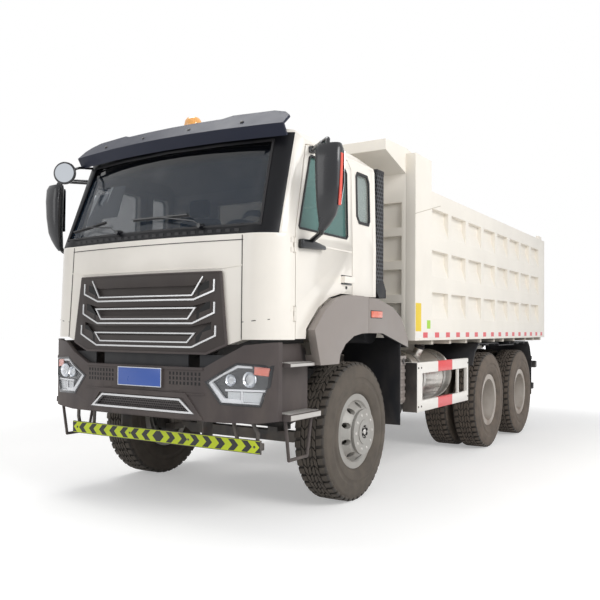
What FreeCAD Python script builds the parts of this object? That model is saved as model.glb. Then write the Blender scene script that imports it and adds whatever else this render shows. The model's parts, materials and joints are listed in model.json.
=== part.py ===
"""Three-axle dump truck with a tilting cab and a front-lift tipping bed.

Units are millimetres. +Z is up, the truck faces -Y and +X is its left side. While the pieces are drawn,
Y is measured from the front axle; save() moves them to the part's origin, which lies on the ground
under the middle of the truck's length.
"""
import FreeCAD
import Part
import math
import os

from FreeCAD import Vector

# ---------------------------------------------------------------- running gear
TYRE_R = 556.0                 # to the lugs' tips
TYRE_W = 300.0
TREAD_W = 236.0
BEAD_R = 258.0
RIM_FLANGE_R = 300.0
RIM_W = 236.0
DISC_R = 168.0                 # bolting face of a wheel disc
DISC_OFFSET = 172.0            # bolting face from the rim's middle plane
HAND_HOLES = 10
HAND_HOLE_R = 24.0
WHEELBASE = 3225.0             # front axle to first drive axle
BOGIE = 1350.0                 # between the drive axles
FRONT_WHEEL_X = 1012.0
DRIVE_FACE_X = 930.0           # bolting face of the twin wheels
KINGPIN_X = 800.0
KINGPIN_R = 24.0
SPINDLE_R = 34.0
HUB_R = 120.0
DRUM_R = 205.0
FIT = 0.05                     # radial running fit of pins and spindles
CLEAR = 6.0                    # between parts that move past each other
SEAT = 0.3                     # between a piece and the piece that it rests against

AXLE_Z = TYRE_R
DRIVE_AXLES = (WHEELBASE, WHEELBASE + BOGIE)
LEAF_T = 22.0
REAR_SPRING_X = 492.0
REAR_SPRING_Z = AXLE_Z + 60.0  # underside of the lowest leaf
REAR_SPRING_RISE = 40.0
REAR_SPRING_HALF = 690.0

# ---------------------------------------------------------------- chassis
RAIL_X = 430.0                 # outer face of a frame rail
RAIL_T = 9.0
RAIL_FLANGE = 88.0
RAIL_TOP = 1010.0
RAIL_H = 290.0
FRAME_FRONT = -1040.0
FRAME_REAR = DRIVE_AXLES[1] + 1035.0
SUB_H = 85.0
SUB_W = 80.0
SUB_X = 390.0                  # middle of a subframe rail
SUB_FRONT = 520.0
SUB_TOP = RAIL_TOP + SUB_H
CROSS_R = 45.0

# ---------------------------------------------------------------- cab
CAB_HALF = 1150.0
CAB_WALL = 55.0
CAB_BOTTOM = 1300.0
CAB_REAR = 320.0
WAIST_Z = 2035.0
ROOF_Z = 2860.0
FACE_BOTTOM = 1190.0           # lowest edge of the white front panel
NOSE_Y = -1268.0               # foremost point of the front panel, low down
WAIST_Y = -1238.0
BROW_Y = -962.0                # foremost point at the roof
CAB_PIVOT_Y = -1180.0
CAB_PIVOT_Z = 960.0
CAB_PIVOT_R = 22.0
DOOR_FRONT = -955.0
DOOR_REAR = -115.0
DOOR_TOP = 2705.0
DOOR_GAP = 7.0
DOOR_PIN_X = CAB_HALF - 3.0
DOOR_PIN_Y = DOOR_FRONT - 10.0
GLASS_T = 8.0
FLARE_X_IN = CAB_HALF - 55.0   # inner edge of the arch's flare
ARCH_X_OUT = CAB_HALF + 65.0
ARCH_ROOF_Z = 1645.0           # underside of the cab over the front wheels

# ---------------------------------------------------------------- bed
BED_FRONT = 934.0
BED_REAR = FRAME_REAR + 324.0
BED_HALF = 1248.0
BED_IN = BED_HALF - 98.0         # inner face of a side wall
BED_BOTTOM = 1275.0
BED_FLOOR_T = 60.0
BED_HEAD_Z = 2995.0            # top of the raised front
BED_RAIL_Z = BED_HEAD_Z - 289.0  # top of the side rail
BED_HEAD_L = 393.0
BED_WALL_T = 80.0
BED_LEDGE_Z = 1482.0           # foot of the ribbed zone
BED_ZONE_TOP = 2545.0
BED_COLUMNS = 8
BED_ROWS = 3
BED_RIB_W = 96.0
BED_BAND_H = 150.0
BED_RECESS = 48.0
BED_HINGE_Y = FRAME_REAR - 110.0
BED_HINGE_Z = 1150.0
BED_HINGE_R = 30.0
GATE_T = 66.0
GATE_PIN_Z = BED_RAIL_Z + 34.0
GATE_PIN_R = 22.0
CANOPY_FRONT = 500.0
CANOPY_HALF = 1150.0

# ---------------------------------------------------------------- hoist
HOIST_Y = 690.0
HOIST_BASE_Z = 1080.0
HOIST_EYE_Z = 2650.0
HOIST_R = (112.0, 94.0, 77.0, 61.0)     # barrel, then the moving stages
HOIST_PIN_R = 30.0
WELL_IN = 168.0                # half-width inside the hoist well
WELL_T = 12.0

GATE_REAR = BED_REAR + 5.0
BUMPER_Y = -1280.0             # foremost face of the bumper
NOSE_FRONT = BUMPER_Y - 18.0   # foremost point of the truck, the plate on the bumper
ORIGIN_Y = (NOSE_FRONT + GATE_REAR) / 2.0

X_AXIS = Vector(1, 0, 0)
Y_AXIS = Vector(0, 1, 0)


# ---------------------------------------------------------------- shape helpers
def box(x0, x1, y0, y1, z0, z1):
    """A box between opposite corners."""
    return Part.makeBox(x1 - x0, y1 - y0, z1 - z0, Vector(x0, y0, z0))


def rod(start, end, radius):
    """A round bar from one point to another."""
    axis = Vector(*end) - Vector(*start)
    return Part.makeCylinder(radius, axis.Length, Vector(*start), axis)


def disc_x(x0, x1, y, z, radius):
    """A cylinder along X."""
    return rod((min(x0, x1), y, z), (max(x0, x1), y, z), radius)


def face_of(points):
    """A flat face with the given corners."""
    wire = Part.makePolygon([Vector(*p) for p in points] + [Vector(*points[0])])
    return Part.Face(wire)


def prism_x(outline, x0, x1):
    """An outline of (y, z) points carried from x0 to x1."""
    return face_of([(x0, y, z) for y, z in outline]).extrude(Vector(x1 - x0, 0, 0))


def prism_y(outline, y0, y1):
    """An outline of (x, z) points carried from y0 to y1."""
    return face_of([(x, y0, z) for x, z in outline]).extrude(Vector(0, y1 - y0, 0))


def prism_z(outline, z0, z1):
    """An outline of (x, y) points carried from z0 to z1."""
    return face_of([(x, y, z0) for x, y in outline]).extrude(Vector(0, 0, z1 - z0))


def turned_x(profile, x, y, z):
    """A closed (x, radius) profile turned about the line through (y, z) along X."""
    wire_face = face_of([(x + dx, y, z + r) for dx, r in profile])
    return wire_face.revolve(Vector(x, y, z), X_AXIS, 360)


def mirrored(shape):
    """The same piece on the truck's right side."""
    return shape.mirror(Vector(0, 0, 0), X_AXIS)


def both(*shapes):
    """Pieces of the left side, with their copies on the right."""
    return [s for shape in shapes for s in (shape, mirrored(shape))]


def fused(*shapes):
    """One solid of pieces that are joined on the real truck."""
    first, rest = shapes[0], list(shapes[1:])
    return first.fuse(rest).removeSplitter() if rest else first


def cut(shape, *tools):
    """A shape with the tools' volumes taken away."""
    return shape.cut(list(tools))


def widened(face, gap):
    """A flat face grown outwards by gap on every side."""
    return face.makeOffset2D(gap, 2)


def solids_of(shapes):
    """Every solid of a list of shapes."""
    return [solid for shape in shapes for solid in shape.Solids]


def save(name, *shapes):
    """Writes one node, moved from the front axle's frame to the part's own."""
    node = Part.makeCompound(solids_of(shapes))
    node.translate(Vector(0, -ORIGIN_Y, 0))
    node.exportStep(f"parts/{name}.step")


def hollow_beam(x0, x1, y0, y1, z0, z1, wall):
    """A closed rectangular tube along Y."""
    return cut(box(x0, x1, y0, y1, z0, z1), box(x0 + wall, x1 - wall, y0, y1, z0 + wall, z1 - wall))


def bent_bar(points, radius):
    """A round bar through the points, with ball corners."""
    runs = [rod(a, b, radius) for a, b in zip(points, points[1:])]
    corners = [Part.makeSphere(radius, Vector(*p)) for p in points[1:-1]]
    return fused(*runs, *corners)


# ---------------------------------------------------------------- chassis
def make_chassis():
    rail = box(RAIL_X - RAIL_FLANGE, RAIL_X, FRAME_FRONT, FRAME_REAR, RAIL_TOP - RAIL_H, RAIL_TOP)
    hollow = box(RAIL_X - RAIL_FLANGE, RAIL_X - RAIL_T, FRAME_FRONT, FRAME_REAR,
                 RAIL_TOP - RAIL_H + RAIL_T, RAIL_TOP - RAIL_T)
    rail = cut(rail, hollow)
    web = RAIL_X - RAIL_T
    cross_z = RAIL_TOP - CROSS_R - 17
    places = (FRAME_FRONT + 60, 1420, 2450, WHEELBASE + BOGIE / 2, FRAME_REAR - 60)
    crossmembers = [disc_x(-web, web, y, cross_z, CROSS_R) for y in places]
    pivot_plate = prism_x([(FRAME_FRONT, RAIL_TOP - RAIL_H), (FRAME_FRONT, RAIL_TOP),
                           (CAB_PIVOT_Y - 40, CAB_PIVOT_Z + 40), (CAB_PIVOT_Y - 40, CAB_PIVOT_Z - 60)],
                          RAIL_X - 30, RAIL_X)
    pin = disc_x(RAIL_X, RAIL_X + 95, CAB_PIVOT_Y, CAB_PIVOT_Z, CAB_PIVOT_R)
    save("chassis_frame", fused(rail, mirrored(rail), *crossmembers, *both(pivot_plate, pin)))


def make_subframe():
    side = hollow_beam(SUB_X - SUB_W / 2, SUB_X + SUB_W / 2, SUB_FRONT, BED_HINGE_Y + 60,
                       RAIL_TOP, SUB_TOP, 8)
    inner = SUB_X - SUB_W / 2
    ties = [box(-inner, inner, y, y + 70, RAIL_TOP, SUB_TOP) for y in (1500, 2500, 3500, 4500, 5300)]
    ear = prism_x([(BED_HINGE_Y - 90, SUB_TOP), (BED_HINGE_Y + 60, SUB_TOP),
                   (BED_HINGE_Y + 35, BED_HINGE_Z + 40), (BED_HINGE_Y - 40, BED_HINGE_Z + 40)],
                  SUB_X - 34, SUB_X - 14)
    pin = disc_x(SUB_X - 34, SUB_X + 62, BED_HINGE_Y, BED_HINGE_Z, BED_HINGE_R)
    base_plate = prism_x([(HOIST_Y - 130, SUB_TOP), (HOIST_Y - 60, HOIST_BASE_Z + 50),
                          (HOIST_Y + 60, HOIST_BASE_Z + 50), (HOIST_Y + 130, SUB_TOP),
                          (HOIST_Y + 130, RAIL_TOP), (HOIST_Y - 130, RAIL_TOP)], inner - 20, inner)
    base_pin = disc_x(-inner, inner, HOIST_Y, HOIST_BASE_Z, HOIST_PIN_R)
    save("tipper_subframe", fused(side, mirrored(side), *ties, *both(ear, pin, base_plate), base_pin))


def make_front_axle():
    beam_z = AXLE_Z - 95
    half = [(560, beam_z - 45), (KINGPIN_X - 110, AXLE_Z - 60), (KINGPIN_X - 30, AXLE_Z - 60),
            (KINGPIN_X - 30, AXLE_Z + 60), (560, beam_z + 45)]
    web = prism_y(half + [(-x, z) for x, z in reversed(half)], -45, 45)
    boss = Part.makeCylinder(52, 150, Vector(KINGPIN_X, 0, AXLE_Z - 75))
    bore = Part.makeCylinder(KINGPIN_R + FIT, 150, Vector(KINGPIN_X, 0, AXLE_Z - 75))
    beam = fused(web, *both(boss))
    save("front_axle", cut(beam, *both(bore)))


def leaf_pack(y_mid, z_low, z_end, half_length, leaves, x_mid, width):
    """A stack of leaves, longest on top, that rises to its ends."""
    thick = LEAF_T
    packs = []
    for n in range(leaves):
        reach = half_length * (1 - 0.12 * (leaves - 1 - n))
        rise = (z_end - z_low) * (reach / half_length)
        low = z_low + n * thick
        packs.append(prism_x([(y_mid - reach, low + rise), (y_mid - 110, low), (y_mid + 110, low),
                              (y_mid + reach, low + rise), (y_mid + reach, low + rise + thick),
                              (y_mid + 110, low + thick), (y_mid - 110, low + thick),
                              (y_mid - reach, low + rise + thick)],
                             x_mid - width / 2, x_mid + width / 2))
    return fused(*packs)


def make_springs():
    spring_x = RAIL_X - 40
    seat = box(spring_x - 50, spring_x + 50, -105, 105, AXLE_Z - 50, AXLE_Z - 12)
    front = leaf_pack(0, AXLE_Z - 12, RAIL_TOP - RAIL_H - 66, 790, 3, spring_x, 90)
    hangers = [box(spring_x - 45, spring_x + 45, y - 30, y + 30, RAIL_TOP - RAIL_H - 44, RAIL_TOP - RAIL_H)
               for y in (-760, 760)]
    middle = WHEELBASE + BOGIE / 2
    rear = leaf_pack(middle, REAR_SPRING_Z, REAR_SPRING_Z + REAR_SPRING_RISE, REAR_SPRING_HALF, 5,
                     REAR_SPRING_X, 100)
    bracket = prism_x([(middle - 150, RAIL_TOP - 60), (middle + 150, RAIL_TOP - 60),
                       (middle + 90, AXLE_Z - 60), (middle - 90, AXLE_Z - 60)], RAIL_X, RAIL_X + 12)
    trunnion = fused(disc_x(RAIL_X, RAIL_X + 112, middle, AXLE_Z, 60),
                     box(RAIL_X + 12, RAIL_X + 112, middle - 90, middle + 90, AXLE_Z, AXLE_Z + 60), bracket)
    save("leaf_springs", *both(fused(front, seat, *hangers), fused(rear, trunnion)))


def make_drive_axles():
    middle = WHEELBASE + BOGIE / 2
    run = BOGIE / 2 - 60 - 110
    saddle_top = REAR_SPRING_Z + 4 * LEAF_T + REAR_SPRING_RISE * run / (REAR_SPRING_HALF - 110) - SEAT
    pieces = []
    for y in DRIVE_AXLES:
        bowl = Part.makeSphere(215, Vector(0, y, AXLE_Z))
        bowl = bowl.common(box(-170, 170, y - 200, y + 200, AXLE_Z - 215, AXLE_Z + 215))
        nose = rod((0, y, AXLE_Z + 20), (0, y - 330, AXLE_Z + 20), 88)
        tube = box(-640, 640, y - 75, y + 75, AXLE_Z - 75, AXLE_Z + 75)
        spindle = disc_x(-DRIVE_FACE_X - 90, DRIVE_FACE_X + 90, y, AXLE_Z, SPINDLE_R + 12)
        saddle = box(REAR_SPRING_X - 50, REAR_SPRING_X + 50, y - 60, y + 70, AXLE_Z + 75, saddle_top)
        if y < middle:
            saddle = saddle.mirror(Vector(0, y, 0), Y_AXIS)
        pieces.append(fused(tube, bowl, nose, spindle, *both(saddle)))
    save("drive_axles", *pieces)


def make_power_train():
    engine = box(-300, 300, -760, 420, 735, 1470)
    sump = prism_y([(-190, 640), (190, 640), (230, 735), (-230, 735)], -500, 250)
    bell = Part.makeCone(230, 160, 230, Vector(0, 420, 860), Y_AXIS)
    gearbox = box(-165, 165, 650, 1230, 690, 970)
    web = RAIL_X - RAIL_T
    mounts = [box(-web, web, y, y + 70, 830, 880) for y in (-700, 300)]
    save("engine", fused(engine, sump, bell, gearbox, *mounts))
    flange_y = 1230
    first, second = DRIVE_AXLES
    joint_y = first - 330 - 60
    shaft = fused(rod((0, flange_y, 830), (0, flange_y + 60, 830), 80),
                  rod((0, flange_y + 60, 830), (0, joint_y, AXLE_Z + 20), 55),
                  rod((0, joint_y, AXLE_Z + 20), (0, first - 330, AXLE_Z + 20), 70))
    link = rod((0, first + 200, AXLE_Z + 20), (0, second - 330, AXLE_Z + 20), 48)
    save("propshafts", shaft, link)


def make_bumper():
    """The shell bows forward in the middle and sweeps round its corners."""
    def plan(inset):
        right = [(1122 - inset, -1075), (1116 - inset, -1112), (1060 - inset * 0.6, -1160 + inset * 0.8),
                 (760, -1255 + inset), (400, BUMPER_Y + inset)]
        return right + [(-x, y) for x, y in reversed(right)]
    low, top = 726, 1285
    shell = cut(prism_z(plan(0), low, top), prism_z(plan(38), low, top))
    brow = prism_y([(-1300, 1290), (-1090, 1282), (-900, 1262), (-760, 1185), (-590, 1100),
                    (590, 1100), (760, 1185), (900, 1262), (1090, 1282), (1300, 1290),
                    (1300, 1400), (-1300, 1400)], -1500, 0)
    chin = prism_y([(-1300, 700), (-1300, 770), (-1000, 732), (-700, 724), (700, 724), (1000, 732),
                    (1300, 770), (1300, 700)], -1500, 0)
    intake = prism_y([(-500, 775), (500, 775), (385, 872), (-385, 872)], -1400, -1200)
    lamp_hole = prism_y(headlamp_outline(), -1400, -1050)
    inner = box(-600, 600, BUMPER_Y + 36, BUMPER_Y + 60, 880, 910)
    shell = cut(shell, brow, chin, intake, lamp_hole, mirrored(lamp_hole))
    shelf = box(-RAIL_X, RAIL_X, BUMPER_Y + 36, BUMPER_Y + 66, 1076, 1098)
    stay = box(RAIL_X - 75, RAIL_X - 30, BUMPER_Y + 36, FRAME_FRONT, 870, 910)
    plate = box(-220, 220, NOSE_FRONT, BUMPER_Y + 4, 946, 1086)
    save("bumper", fused(shell, shelf, inner, *both(stay), plate))


def headlamp_outline():
    """The left lamp seen from the front, as (x, z)."""
    return [(612, 1000), (735, 858), (1010, 850), (1068, 985), (1085, 1118), (850, 1132)]


def make_lamps():
    """Headlamps in the bumper, and tail lamps on the rear bar."""
    body = prism_z([(612, -1272), (760, -1259), (1060, -1164), (1100, -1130), (1100, -1090),
                    (1050, -1120), (740, -1215), (612, -1232)], 800, 1200)
    outline = [(x + (SEAT if x < 800 else -SEAT), z + (SEAT if z < 1000 else -SEAT))
               for x, z in headlamp_outline()]
    lamp = body.common(prism_y(outline, -1400, -1000))
    tail = box(760, 1180, FRAME_REAR + 46, FRAME_REAR + 86, 835, 925)
    save("lamps", *both(lamp, tail))


def make_underrun_bar():
    board = box(-955, 955, -1086, -1076, 504, 600)
    bar = box(-950, 950, -1076, -1036, 528, 576)
    arm = bent_bar([(900, -1056, 552), (915, -1062, 640), (870, -1100, 760)], 14)
    arm_inner = bent_bar([(740, -1056, 552), (700, -1080, 760)], 14)
    bracket = box(RAIL_X - 22, RAIL_X - RAIL_T, -1060, FRAME_FRONT + 90, 528, RAIL_TOP - RAIL_H)
    save("underrun_bar", fused(bar, board, *both(arm, arm_inner, bracket)))


def make_steps():
    side = prism_x([(-1070, 745), (-1070, 1270), (-770, 1270), (-690, 1235), (-655, 1110), (-655, 745)],
                   1040, 1068)
    upper = box(1040, 1180, -1070, -745, 1112, 1140)
    lower = box(1040, 1185, -1070, -660, 745, 790)
    treads = fused(side, upper, lower)
    loop = bent_bar([(1130, -1050, 760), (1130, -1000, 468), (1130, -760, 468), (1130, -700, 760)], 12)
    hanger = box(RAIL_X, 1042, -960, -900, 940, 980)
    save("cab_steps", *both(fused(treads, loop, hanger)))


def make_mudguards():
    """Rear halves of the front arches, flaps, and the guards over the drive wheels."""
    rear_arch = prism_x([(57, 1345), (316, 1341), (853, 1215), (853, 1290), (700, 1480), (520, 1567),
                         (217, 1630), (57, 1632)], 990, ARCH_X_OUT)
    hollow = prism_x([(40, 1300), (316, 1300), (840, 1180), (840, 1275), (690, 1450), (512, 1540),
                      (217, 1600), (40, 1602)], 960, ARCH_X_OUT - 30)
    rear_arch = cut(rear_arch, hollow)
    flap = box(640, 1205, 700, 712, 530, 1300)
    flap_rail = box(RAIL_X, 1205, 712, 742, 1255, 1300)
    arch_stay = box(ARCH_X_OUT - 65, ARCH_X_OUT - 29, 712, 742, 1300, 1440)
    post = box(RAIL_X, RAIL_X + 40, 712, 742, RAIL_TOP - 150, 1300)
    front = fused(rear_arch, flap, flap_rail, arch_stay, post)
    first, second = DRIVE_AXLES
    over = prism_x([(first - 640, 980), (first - 560, 1120), (first - 430, 1214), (first + 320, 1214),
                    (first + 345, 1186), (second - 345, 1186), (second - 320, 1214), (second + 370, 1214),
                    (second + 470, 1140), (second + 560, 960), (second + 572, 966), (second + 482, 1150),
                    (second + 378, 1224), (second - 326, 1224), (second - 350, 1196),
                    (first + 350, 1196), (first + 326, 1224), (first - 438, 1224), (first - 570, 1128),
                    (first - 652, 984)], 612, 1240)
    stays = [box(RAIL_X, 612, y - 20, y + 20, 1140, 1180) for y in (first, second)]
    stay_plates = [box(612, 640, y - 20, y + 20, 1140, 1214) for y in (first, second)]
    tail_flap = box(640, 1215, second + 660, second + 672, 470, 1010)
    flap_bar = box(RAIL_X, 1215, second + 672, second + 700, 965, 1010)
    save("mudguards", *both(front, fused(over, *stays, *stay_plates), fused(tail_flap, flap_bar)))


def make_side_guards():
    x0, x1 = 1196, 1234
    y0, y1 = 1020, 2450
    low = box(x0, x1, y0, y1, 610, 715)
    high = box(x0, x1, y0, y1, 965, 1070)
    front = box(x0, x1, y0, y0 + 130, 610, 1070)
    back = box(x0, x1, y1 - 40, y1, 610, 1070)
    middle = box(x0, x1 - 10, y0 + 1130, y0 + 1160, 610, 1070)
    turn_in = box(x0 - 110, x1, y0, y0 + 30, 610, 1070)
    arms = [box(RAIL_X, x0 + 5, y, y + 50, 730 + 250, 1030) for y in (y0 + 60, y1 - 140)]
    guard = fused(low, high, front, back, middle, turn_in, *arms)
    save("side_guards", *both(guard))


def make_tanks():
    """The fuel drum on the left, and two air tanks on the right."""
    y0, y1 = 1290, 2230
    x, z, radius = 860, 900, 262
    drum = rod((x, y0, z), (x, y1, z), radius)
    caps = [rod((x, y, z), (x, y + 10, z), radius - 12) for y in (y0 - 10, y1)]
    straps = [cut(rod((x, y, z), (x, y + 60, z), radius + 6), rod((x, y, z), (x, y + 60, z), radius - 1))
              for y in (1440, 1980)]
    bracket = [prism_y([(RAIL_X, 980), (RAIL_X, 735), (600, 700), (700, 690), (660, 760)], y, y + 60)
               for y in (1440, 1980)]
    neck = rod((960, 1650, 1120), (990, 1650, 1190), 45)
    fuel = fused(drum, *caps, *straps, *bracket, neck)
    air = [rod((-x, 1350, 820), (-x, 2350, 820), 135) for x in (640, 970)]
    hangers = [box(-1100, -RAIL_X, y, y + 40, 945, 985) for y in (1500, 2150)]
    save("tanks", fuel, fused(*air, *hangers))


def make_boxes():
    """The battery box on the left, and the exhaust box on the right."""
    save("chassis_boxes", box(RAIL_X, 1120, 870, 1005, 700, 1130), box(-1120, -RAIL_X, 800, 1005, 700, 1130))


def make_intake():
    column = prism_x([(352, 2740), (352, 1700), (400, 1645), (540, 1645), (540, 1710), (480, 1800),
                      (480, 2740)], 1010, 1140)
    duct = box(850, 1012, 400, 540, 1645, 1710)
    drop = box(850, 975, 430, 540, 1500, 1646)
    cleaner = rod((600, 560, 1400), (980, 560, 1400), 150)
    leg = box(600, 660, 545, 605, RAIL_TOP - 40, 1300)
    foot = box(RAIL_X, 660, 545, 605, RAIL_TOP - 40, RAIL_TOP)
    save("intake_stack", fused(column, duct, drop, cleaner, leg, foot))


def make_tail():
    bar = box(-1180, 1180, FRAME_REAR, FRAME_REAR + 46, 830, 930)
    under = box(-1150, 1150, FRAME_REAR - 30, FRAME_REAR + 30, 520, 610)
    legs = box(RAIL_X - 50, RAIL_X - RAIL_T, FRAME_REAR - 30, FRAME_REAR, 600, RAIL_TOP - RAIL_H)
    hitch = box(-90, 90, FRAME_REAR, FRAME_REAR + 110, 700, 800)
    hitch_hang = box(-90, 90, FRAME_REAR, FRAME_REAR + 46, 800, 835)
    bore = Part.makeCylinder(26, 200, Vector(0, FRAME_REAR + 80, 650))
    save("rear_bar", cut(fused(bar, hitch, hitch_hang), bore), fused(under, *both(legs)))


# ---------------------------------------------------------------- cab
def cab_section(z, inset):
    """The cab's outline seen from above at height z, moved inwards by inset."""
    low = ((FACE_BOTTOM, NOSE_Y, CAB_HALF, 0.0), (WAIST_Z, WAIST_Y, CAB_HALF, 30.0),
           (ROOF_Z, BROW_Y, CAB_HALF - 22, 306.0))
    spans = [(a, b) for a, b in zip(low, low[1:]) if z <= b[0] + 0.5]
    a, b = spans[0] if spans else (low[-2], low[-1])
    share = (z - a[0]) / (b[0] - a[0])
    nose = a[1] + (b[1] - a[1]) * share
    half = a[2] + (b[2] - a[2]) * share
    back = a[3] + (b[3] - a[3]) * share
    nose, half = nose + inset, half - inset
    bow = 55 + 0.18 * back
    shoulder = (0.75 * CAB_HALF - inset * 0.5, nose + bow)
    corner = (half - 62, nose + bow + 92 - 0.05 * back)
    side = (half, nose + bow + 250 - 0.2 * back)
    rear = CAB_REAR - inset
    right = [(-x, y) for x, y in (side, corner, shoulder)]
    def at(p):
        return Vector(p[0], p[1], z)
    edges = [Part.Arc(at(right[0]), at(right[1]), at(right[2])).toShape(),
             Part.Arc(at(right[2]), at((0, nose)), at(shoulder)).toShape(),
             Part.Arc(at(shoulder), at(corner), at(side)).toShape(),
             Part.makeLine(at(side), at((half, rear))),
             Part.makeLine(at((half, rear)), at((-half, rear))),
             Part.makeLine(at((-half, rear)), at(right[0]))]
    return Part.Wire(edges)


def cab_form(levels, inset):
    """A solid through the cab's outlines at the given heights."""
    return Part.makeLoft([cab_section(z, inset) for z in levels], True, True)


def roof_outline(drop):
    """The roof line seen from the side, lowered by drop, closed below the cab."""
    return [(-1500, 1000), (-1500, 2795 - drop), (-930, 2800 - drop), (-820, ROOF_Z - drop),
            (-200, ROOF_Z - 6 - drop), (150, 2805 - drop), (290, 2735 - drop), (330 , 2690 - drop),
            (400, 2600 - drop), (400, 1000)]


def crown_outline(drop):
    """The roof seen from the front."""
    half = CAB_HALF + 40
    return [(-half, 1000), (half, 1000), (half, 2700 - drop), (1118 - drop, 2740 - drop),
            (1040 - drop, 2815 - drop), (700, 2848 - drop), (0, ROOF_Z - drop), (-700, 2848 - drop),
            (-1040 + drop, 2815 - drop), (-1118 + drop, 2740 - drop), (-half, 2700 - drop)]


def flare_outline():
    """Outer edge of the front wheel arch with its legs, seen from the side."""
    return [(-714, 1115), (-800, 1369), (-640, 1520), (-480, 1600), (-295, 1638), (52, 1638), (52, 1345),
            (-60, 1342), (-200, 1322), (-340, 1260), (-420, 1185), (-439, 1115)]


def door_outline():
    """The door seen from the side; its foot clears the wheel arch."""
    return [(DOOR_FRONT, CAB_BOTTOM + 6), (-818, CAB_BOTTOM + 6), (-812, 1378), (-648, 1532),
            (-486, 1612), (-299, 1650), (DOOR_REAR, 1650), (DOOR_REAR, DOOR_TOP - 60),
            (DOOR_REAR - 60, DOOR_TOP), (-770, DOOR_TOP), (DOOR_FRONT, WAIST_Z + 20)]


def side_prism(outline, grow, x0, x1):
    """A side-view outline, widened by grow, carried across from x0 to x1."""
    face = face_of([(x0, y, z) for y, z in outline])
    face = widened(face, grow) if grow else face
    return face.extrude(Vector(x1 - x0, 0, 0))


def door_window():
    return [(-915, 2098), (-905, 2085), (-215, 2085), (-195, 2105), (-195, 2600), (-225, 2630),
            (-735, 2630), (-755, 2610)]


def quarter_window():
    return [(-110 + 120, 2240), (175, 2240), (196, 2275), (196, 2590), (165, 2640), (-5, 2640), (-28, 2610),
            (-28, 2290)]


def screen_outline(grow):
    """The windscreen seen from the front."""
    g = grow
    return [(-985 - g, 2098 - g), (985 + g, 2098 - g), (925 + g, 2740 + g), (-925 - g, 2740 + g)]


CAB_LEVELS = (CAB_BOTTOM - 110, WAIST_Z, ROOF_Z + 40)


def cab_hull(inset):
    """The cab's outer form, or the form of its room when inset."""
    roof = prism_x(roof_outline(inset), -1500, 1500).common(prism_y(crown_outline(inset), -1600, 600))
    return cab_form(CAB_LEVELS, inset).common(roof)


def face_skirt():
    """What lies under the lower edge of the front panel."""
    return prism_y([(-1300, CAB_BOTTOM), (-880, CAB_BOTTOM), (-764, 1262), (764, 1262),
                    (880, CAB_BOTTOM), (1300, CAB_BOTTOM), (1300, 1000), (-1300, 1000)], -1500, -1070)


def cab_walls():
    """Outer skin, floor, engine tunnel and wheel boxes as one closed form."""
    outer = cab_hull(0)
    floor_top = CAB_BOTTOM + 130
    seat_base = 1690
    back = CAB_REAR - CAB_WALL
    room = cab_hull(CAB_WALL).common(box(-1500, 1500, -1600, 600, floor_top, 3000))
    tunnel_skin = box(-445, 445, -1125, back, CAB_BOTTOM, 1605)
    seat_box = prism_x([(-870, floor_top - 20), (-860, 1400), (-690, 1560), (-510, 1650), (-305, seat_base),
                        (back, seat_base), (back, floor_top - 20)], -CAB_HALF, CAB_HALF)
    walls = fused(cut(outer, room), tunnel_skin.common(outer), seat_box.common(outer))
    arch = prism_x([(-1100, 1000), (-1100, CAB_BOTTOM), (-812, CAB_BOTTOM), (-812, 1378), (-648, 1532),
                    (-486, 1612), (-299, ARCH_ROOF_Z), (600, ARCH_ROOF_Z), (600, 1000)], -1500, 1500)
    tunnel = box(-400, 400, -1080, 600, 1000, 1560)
    belly = box(-1500, 1500, -1070, 600, 1000, CAB_BOTTOM)
    sides = [arch.common(box(x0, x1, -1500, 700, 900, 1800)) for x0, x1 in ((445, 1500), (-1500, -445))]
    return cut(walls, tunnel, belly, face_skirt(), *sides)


def hinge_parts():
    """Pillar halves and leaf halves of the left door's two hinges, and the room that they need."""
    pillar, leaf, room = [], [], []
    x, y = DOOR_PIN_X, DOOR_PIN_Y
    for z in (1480, 1960):
        pin = rod((x, y, z - 50), (x, y, z + 50), 4)
        ends = ((-50, -17), (17, 50))
        knuckles = [rod((x, y, z + a), (x, y, z + b), 9) for a, b in ends]
        wings = [box(x - 30, x - 3, y - 40, y, z + a, z + b) for a, b in ends]
        pillar += [pin, *knuckles, *wings]
        barrel = fused(rod((x, y, z - 16), (x, y, z + 16), 9),
                       box(x - 30, x - 3, y + 5, DOOR_FRONT + 30, z - 16, z + 16))
        leaf.append(cut(barrel, rod((x, y, z - 16), (x, y, z + 16), 4 + FIT)))
        room.append(rod((x, y, z - 56), (x, y, z + 56), 16))
    return pillar, leaf, room


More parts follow.
